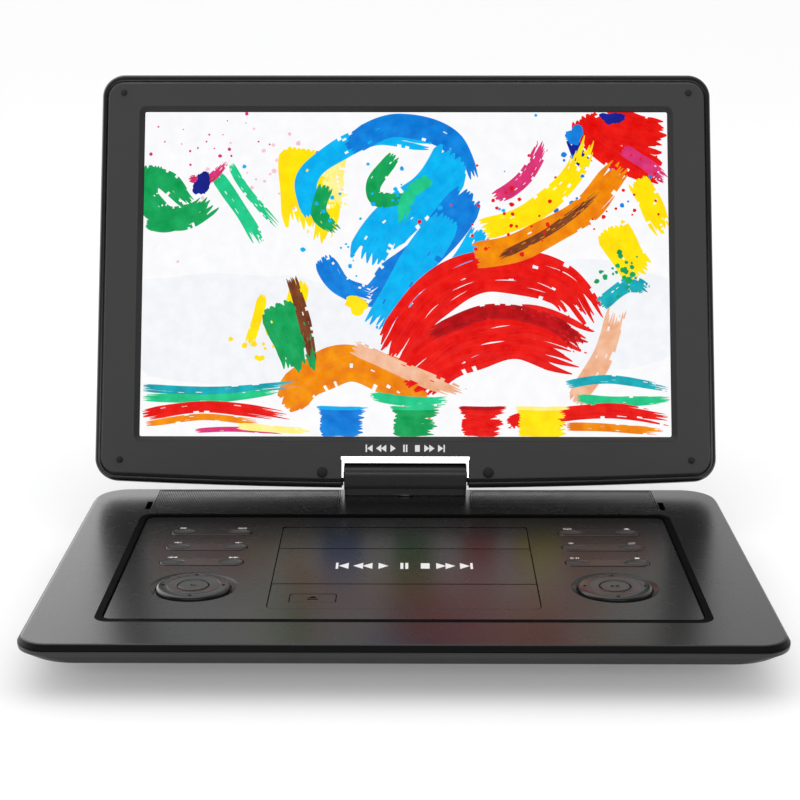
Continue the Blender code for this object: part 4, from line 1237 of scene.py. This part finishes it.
    # Paint pots.
    pots = (("blue", "sky", -36, 32), ("green", "jade", 6, 32), ("red", "crimson", 44, 30),
            ("yellow", "straw", 78, 34))
    for tone, rim, x, width in pots:
        art.stroke(tone, [(x - width * 0.42, 15), (x, 14.5), (x + width * 0.42, 15)], 4, 5, 0.0)
        art.stroke(tone, [(x - width * 0.40, 7), (x, 6.5), (x + width * 0.40, 7)], 14, 9, 0.0)
        art.stroke(rim, [(x - width * 0.46, 16.5), (x, 16), (x + width * 0.46, 16.5)], 2.0, 3, 0.0)


# ---- Hinge, trim and bumpers ----
def make_hinge():
    """The barrel between the lid's shafts, on a disc that turns in the top cover."""
    y = HINGE.y / MM
    z = HINGE.z / MM
    rings = []
    for x, inset in [(-34.8, 0.5), (-34.6, 0.15), (-34.2, 0.0), (34.2, 0.0), (34.6, 0.15), (34.8, 0.5)]:
        points = outline(7.3 - inset, inset - 7.3, 7.3 - inset, 5.0 - inset, 5.0 - inset)
        rings.append([(x, y + back, z + up) for back, up in points])
    housing = loft("hinge_barrel", rings, ["hinge"])
    carve(housing, [cylinder("bore", SHAFT_RADIUS, (side * 34.0, y, z), 20.0, "x") for side in (-1, 1)])
    fit(housing, "swivel", "hinge_plastic", "hinge_housing")
    post = [(0, 28.8), (7.9, 28.8), (8.2, 28.65), (8.3, 28.4), (8.3, 27.6), (8.1, 27.35), (4.0, 27.3),
            (4.0, 20.7), (5.2, 20.7), (5.2, 18.6), (0, 18.6)]
    disc = turned("swivel_disc", post, (0.0, y, 0.0), ["hinge"], sides=72)
    fit(disc, "swivel", "hinge_plastic", "swivel_post")
    skirt = box("hinge_skirt", (-34.6, 34.6), centred(y, 12.6), (27.35, z - 5.0), "hinge", 2.0)
    fit(skirt, "swivel", "hinge_plastic")
    ring = [(7.6, 27.9), (8.36, 27.85), (8.36, 27.65), (7.6, 27.6), (7.6, 27.9)]
    glint = turned("swivel_ring", ring, (0.0, y, 0.0), ["chrome"], sides=72)
    fit(glint, "swivel", "hinge_plastic")


def make_trim():
    """Chrome round the hinge notch, and the rubber bumpers."""
    trim = refined("chrome_trim", "lid", "chrome_plating", "chrome", 0.35)
    trim.name = "hinge_chrome"
    bar_x = (-NOTCH_HALF - 0.4, NOTCH_HALF + 0.4)
    bar_y = (-FACE_OUT - 0.35, -FACE_OUT + 1.6)
    bar_z = (NOTCH_TOP - 0.85, NOTCH_TOP + 1.5)
    chrome_bar = box("hinge_chrome_bar", bar_x, bar_y, bar_z, "chrome", matrix=LID_MATRIX)
    soften(chrome_bar, 0.3)
    fit(chrome_bar, "lid", "chrome_plating")
    for node in [n for n in frame["nodes"] if n.startswith("bumper")]:
        centre = LID_MATRIX.inverted() @ (middle(node) * MM)
        radius = 3.05 if "middle" in node else 1.85
        dome = [(0, 1.3), (radius * 0.6, 1.18), (radius * 0.86, 0.8), (radius * 0.97, 0.4), (radius, 0.0),
                (0, 0.0)]
        place = LID_MATRIX @ Matrix.Translation((centre.x, -(FACE_OUT + 0.02) * MM, centre.z))
        place = place @ Matrix.Rotation(math.pi / 2, 4, "X")
        pad = turned(node + "_pad", dome, (0.0, 0.0, 0.0), ["rubber"], sides=40, matrix=place)
        fit(pad, "lid", "bumper_rubber", node)


# ---- Parts inside, ports, feet and screws ----
def make_inner_parts():
    table = (
        ("disc_deck", "base", "mechanism_plastic", "inner", 0.4),
        ("pickup_sled", "pickup_sled", "mechanism_plastic", "inner", 0.4),
        ("swivel_bracket", "base", "steel", "steel", 0.2),
        ("power_switch", "power_switch", "key_plastic", "key", 0.25),
        ("usb_socket", "base", "socket_metal", "socket", 0.2),
        ("card_reader", "base", "socket_metal", "socket", 0.2),
        ("headphone_jack", "base", "mechanism_plastic", "inner", 0.2),
        ("av_jack", "base", "mechanism_plastic", "inner", 0.2),
        ("dc_jack", "base", "mechanism_plastic", "inner", 0.2),
        ("speaker_left", "base", "mechanism_plastic", "inner", 0.3),
        ("speaker_right", "base", "mechanism_plastic", "inner", 0.3),
        ("battery_pack", "base", "battery_wrap", "wrap", 0.8),
        ("main_board", "base", "circuit_board", "board", 0.15),
    )
    for node, body, slot, material, width in table:
        refined(node, body, slot, material, width)
    centre = middle("spindle_hub")
    hub = [(0, 24.0), (4.6, 24.0), (5.4, 23.8), (5.8, 23.4), (7.15, 22.6), (7.2, 21.3), (7.4, 21.0),
           (14.2, 21.0), (14.5, 20.8), (14.5, 19.7), (14.3, 19.5), (4.0, 19.5), (4.0, 18.9), (0, 18.9)]
    boss = turned("turntable_hub", hub, (0.0, centre.y, 0.0), ["inner"], sides=72)
    fit(boss, "turntable", "mechanism_plastic", "spindle_hub")
    pad = turned("turntable_pad", [(9.0, 21.0), (9.1, 21.2), (13.6, 21.2), (13.8, 21.0), (9.0, 21.0)],
                 (0.0, centre.y, 0.0), ["rubber"], sides=72)
    fit(pad, "turntable", "mechanism_plastic")
    for step in range(3):
        turn = 2 * math.pi * step / 3
        bm = bmesh.new()
        bmesh.ops.create_uvsphere(bm, u_segments=20, v_segments=12, radius=1.0)
        place = (6.6 * math.cos(turn), centre.y + 6.6 * math.sin(turn), 22.1)
        bmesh.ops.translate(bm, vec=place, verts=bm.verts)
        ball = as_piece(f"clamp_ball_{step}", bm, ["steel"])
        fit(ball, "turntable", "mechanism_plastic")
    glass = [(0, 18.35), (1.5, 18.25), (2.4, 18.0), (2.6, 17.9), (0, 17.9)]
    lens_y = -24.95
    eye = turned("pickup_lens", glass, (0.0, lens_y, 0.0), ["lens"], sides=40)
    fit(eye, "pickup_sled", "mechanism_plastic")


def make_feet_and_screws():
    for node in [n for n in frame["nodes"] if n.startswith("foot_")]:
        centre = middle(node)
        foot = [(0, 2.2), (8.0, 2.2), (8.0, 1.0), (7.8, 0.5), (7.3, 0.15), (6.6, 0.0), (5.4, 0.0),
                (5.0, 0.3), (0, 0.3)]
        pad = turned(node + "_pad", foot, (centre.x, centre.y, 0.0), ["rubber"])
        fit(pad, "base", "foot_rubber", node)
    for node in [n for n in frame["nodes"] if n.startswith("shell_screw")]:
        centre = middle(node)
        shape = [(0, 20.0), (1.5, 20.0), (1.5, 5.5), (3.0, 5.5), (3.0, 4.2), (2.6, 3.6), (2.0, 3.4),
                 (0, 3.4)]
        screw = turned(node + "_head", shape, (centre.x, centre.y, 0.0), ["screw"], sides=40)
        cross = []
        for long_x, long_y in ((3.0, 0.7), (0.7, 3.0)):
            cross.append(box("cross", centred(centre.x, long_x), centred(centre.y, long_y), (3.0, 4.4)))
        carve(screw, cross)
        fit(screw, "base", "screw_metal", node)


def make_port_details():
    """Contact tongues in the sockets and metal collars round the jacks."""
    usb = middle("usb_socket")
    card = middle("card_reader")
    tongue_z = (usb.z + 0.1, usb.z + 1.9)
    tongue = box("usb_tongue", (165.2, 174.0), centred(usb.y, 10.6), tongue_z, "inner", 0.3, "x")
    details = [(tongue, "socket_metal")]
    contacts = (
        ("usb", 4, (166.5, 173.5), usb.y - 3.6, 2.4, 1.1, (usb.z - 0.05, usb.z + 0.1)),
        ("card", 9, (165.3, 170.0), card.y - 10.0, 2.5, 1.2, (card.z - 1.1, card.z - 0.85)),
    )
    for word, count, x, first, pitch, width, z in contacts:
        for k in range(count):
            contact = box(f"{word}_contact_{k}", x, centred(first + pitch * k, width), z, "copper")
            details.append((contact, "socket_metal"))
    for node, inner in (("headphone_jack", 1.8), ("av_jack", 1.8), ("dc_jack", 2.9)):
        centre = middle(node)
        ring = [(inner, 0.0), (inner, 0.35), (inner + 0.2, 0.5), (inner + 0.6, 0.5), (inner + 0.75, 0.35),
                (inner + 0.75, 0.0), (inner, 0.0)]
        collar = turned(node + "_collar", ring, (176.0, centre.y, centre.z), ["socket"], axis="x")
        details.append((collar, "mechanism_plastic"))
    for piece, slot in details:
        fit(piece, "base", slot)


make_camera()
make_world()
area_light("overhead", (0.0, -0.2, 2.2), (0.0, 0.0, 0.0), (2.2, 2.2), 9.0)
area_light("front_strip", (0.0, -2.2, 1.08), (0.0, 0.07, 0.04), (2.6, 0.34), 9.0, mirrored=True)
make_floor()
make_case()
make_cover()
for side, word in ((-1, "left"), (1, "right")):
    make_grille(word, f"speaker_grille_{word}")
    for number, distance in enumerate(ROCKERS_BEHIND, start=1):
        make_rocker(side, word, number, distance)
    make_dpad(side, word)
make_panel()
make_door()
make_symbols()
make_bezel()
make_rear_cover()
make_picture()
make_hinge()
make_trim()
make_inner_parts()
make_port_details()
make_feet_and_screws()
dress(["lcd_panel"], "glass")
dress(["dpad_pivot_left", "dpad_pivot_right"], "inner")
dress(["guide_rail_left", "guide_rail_right", "lead_screw"], "steel")
dress(["hinge_shaft_left", "hinge_shaft_right"], "steel")
dress(["spindle_motor", "sled_motor"], "socket")
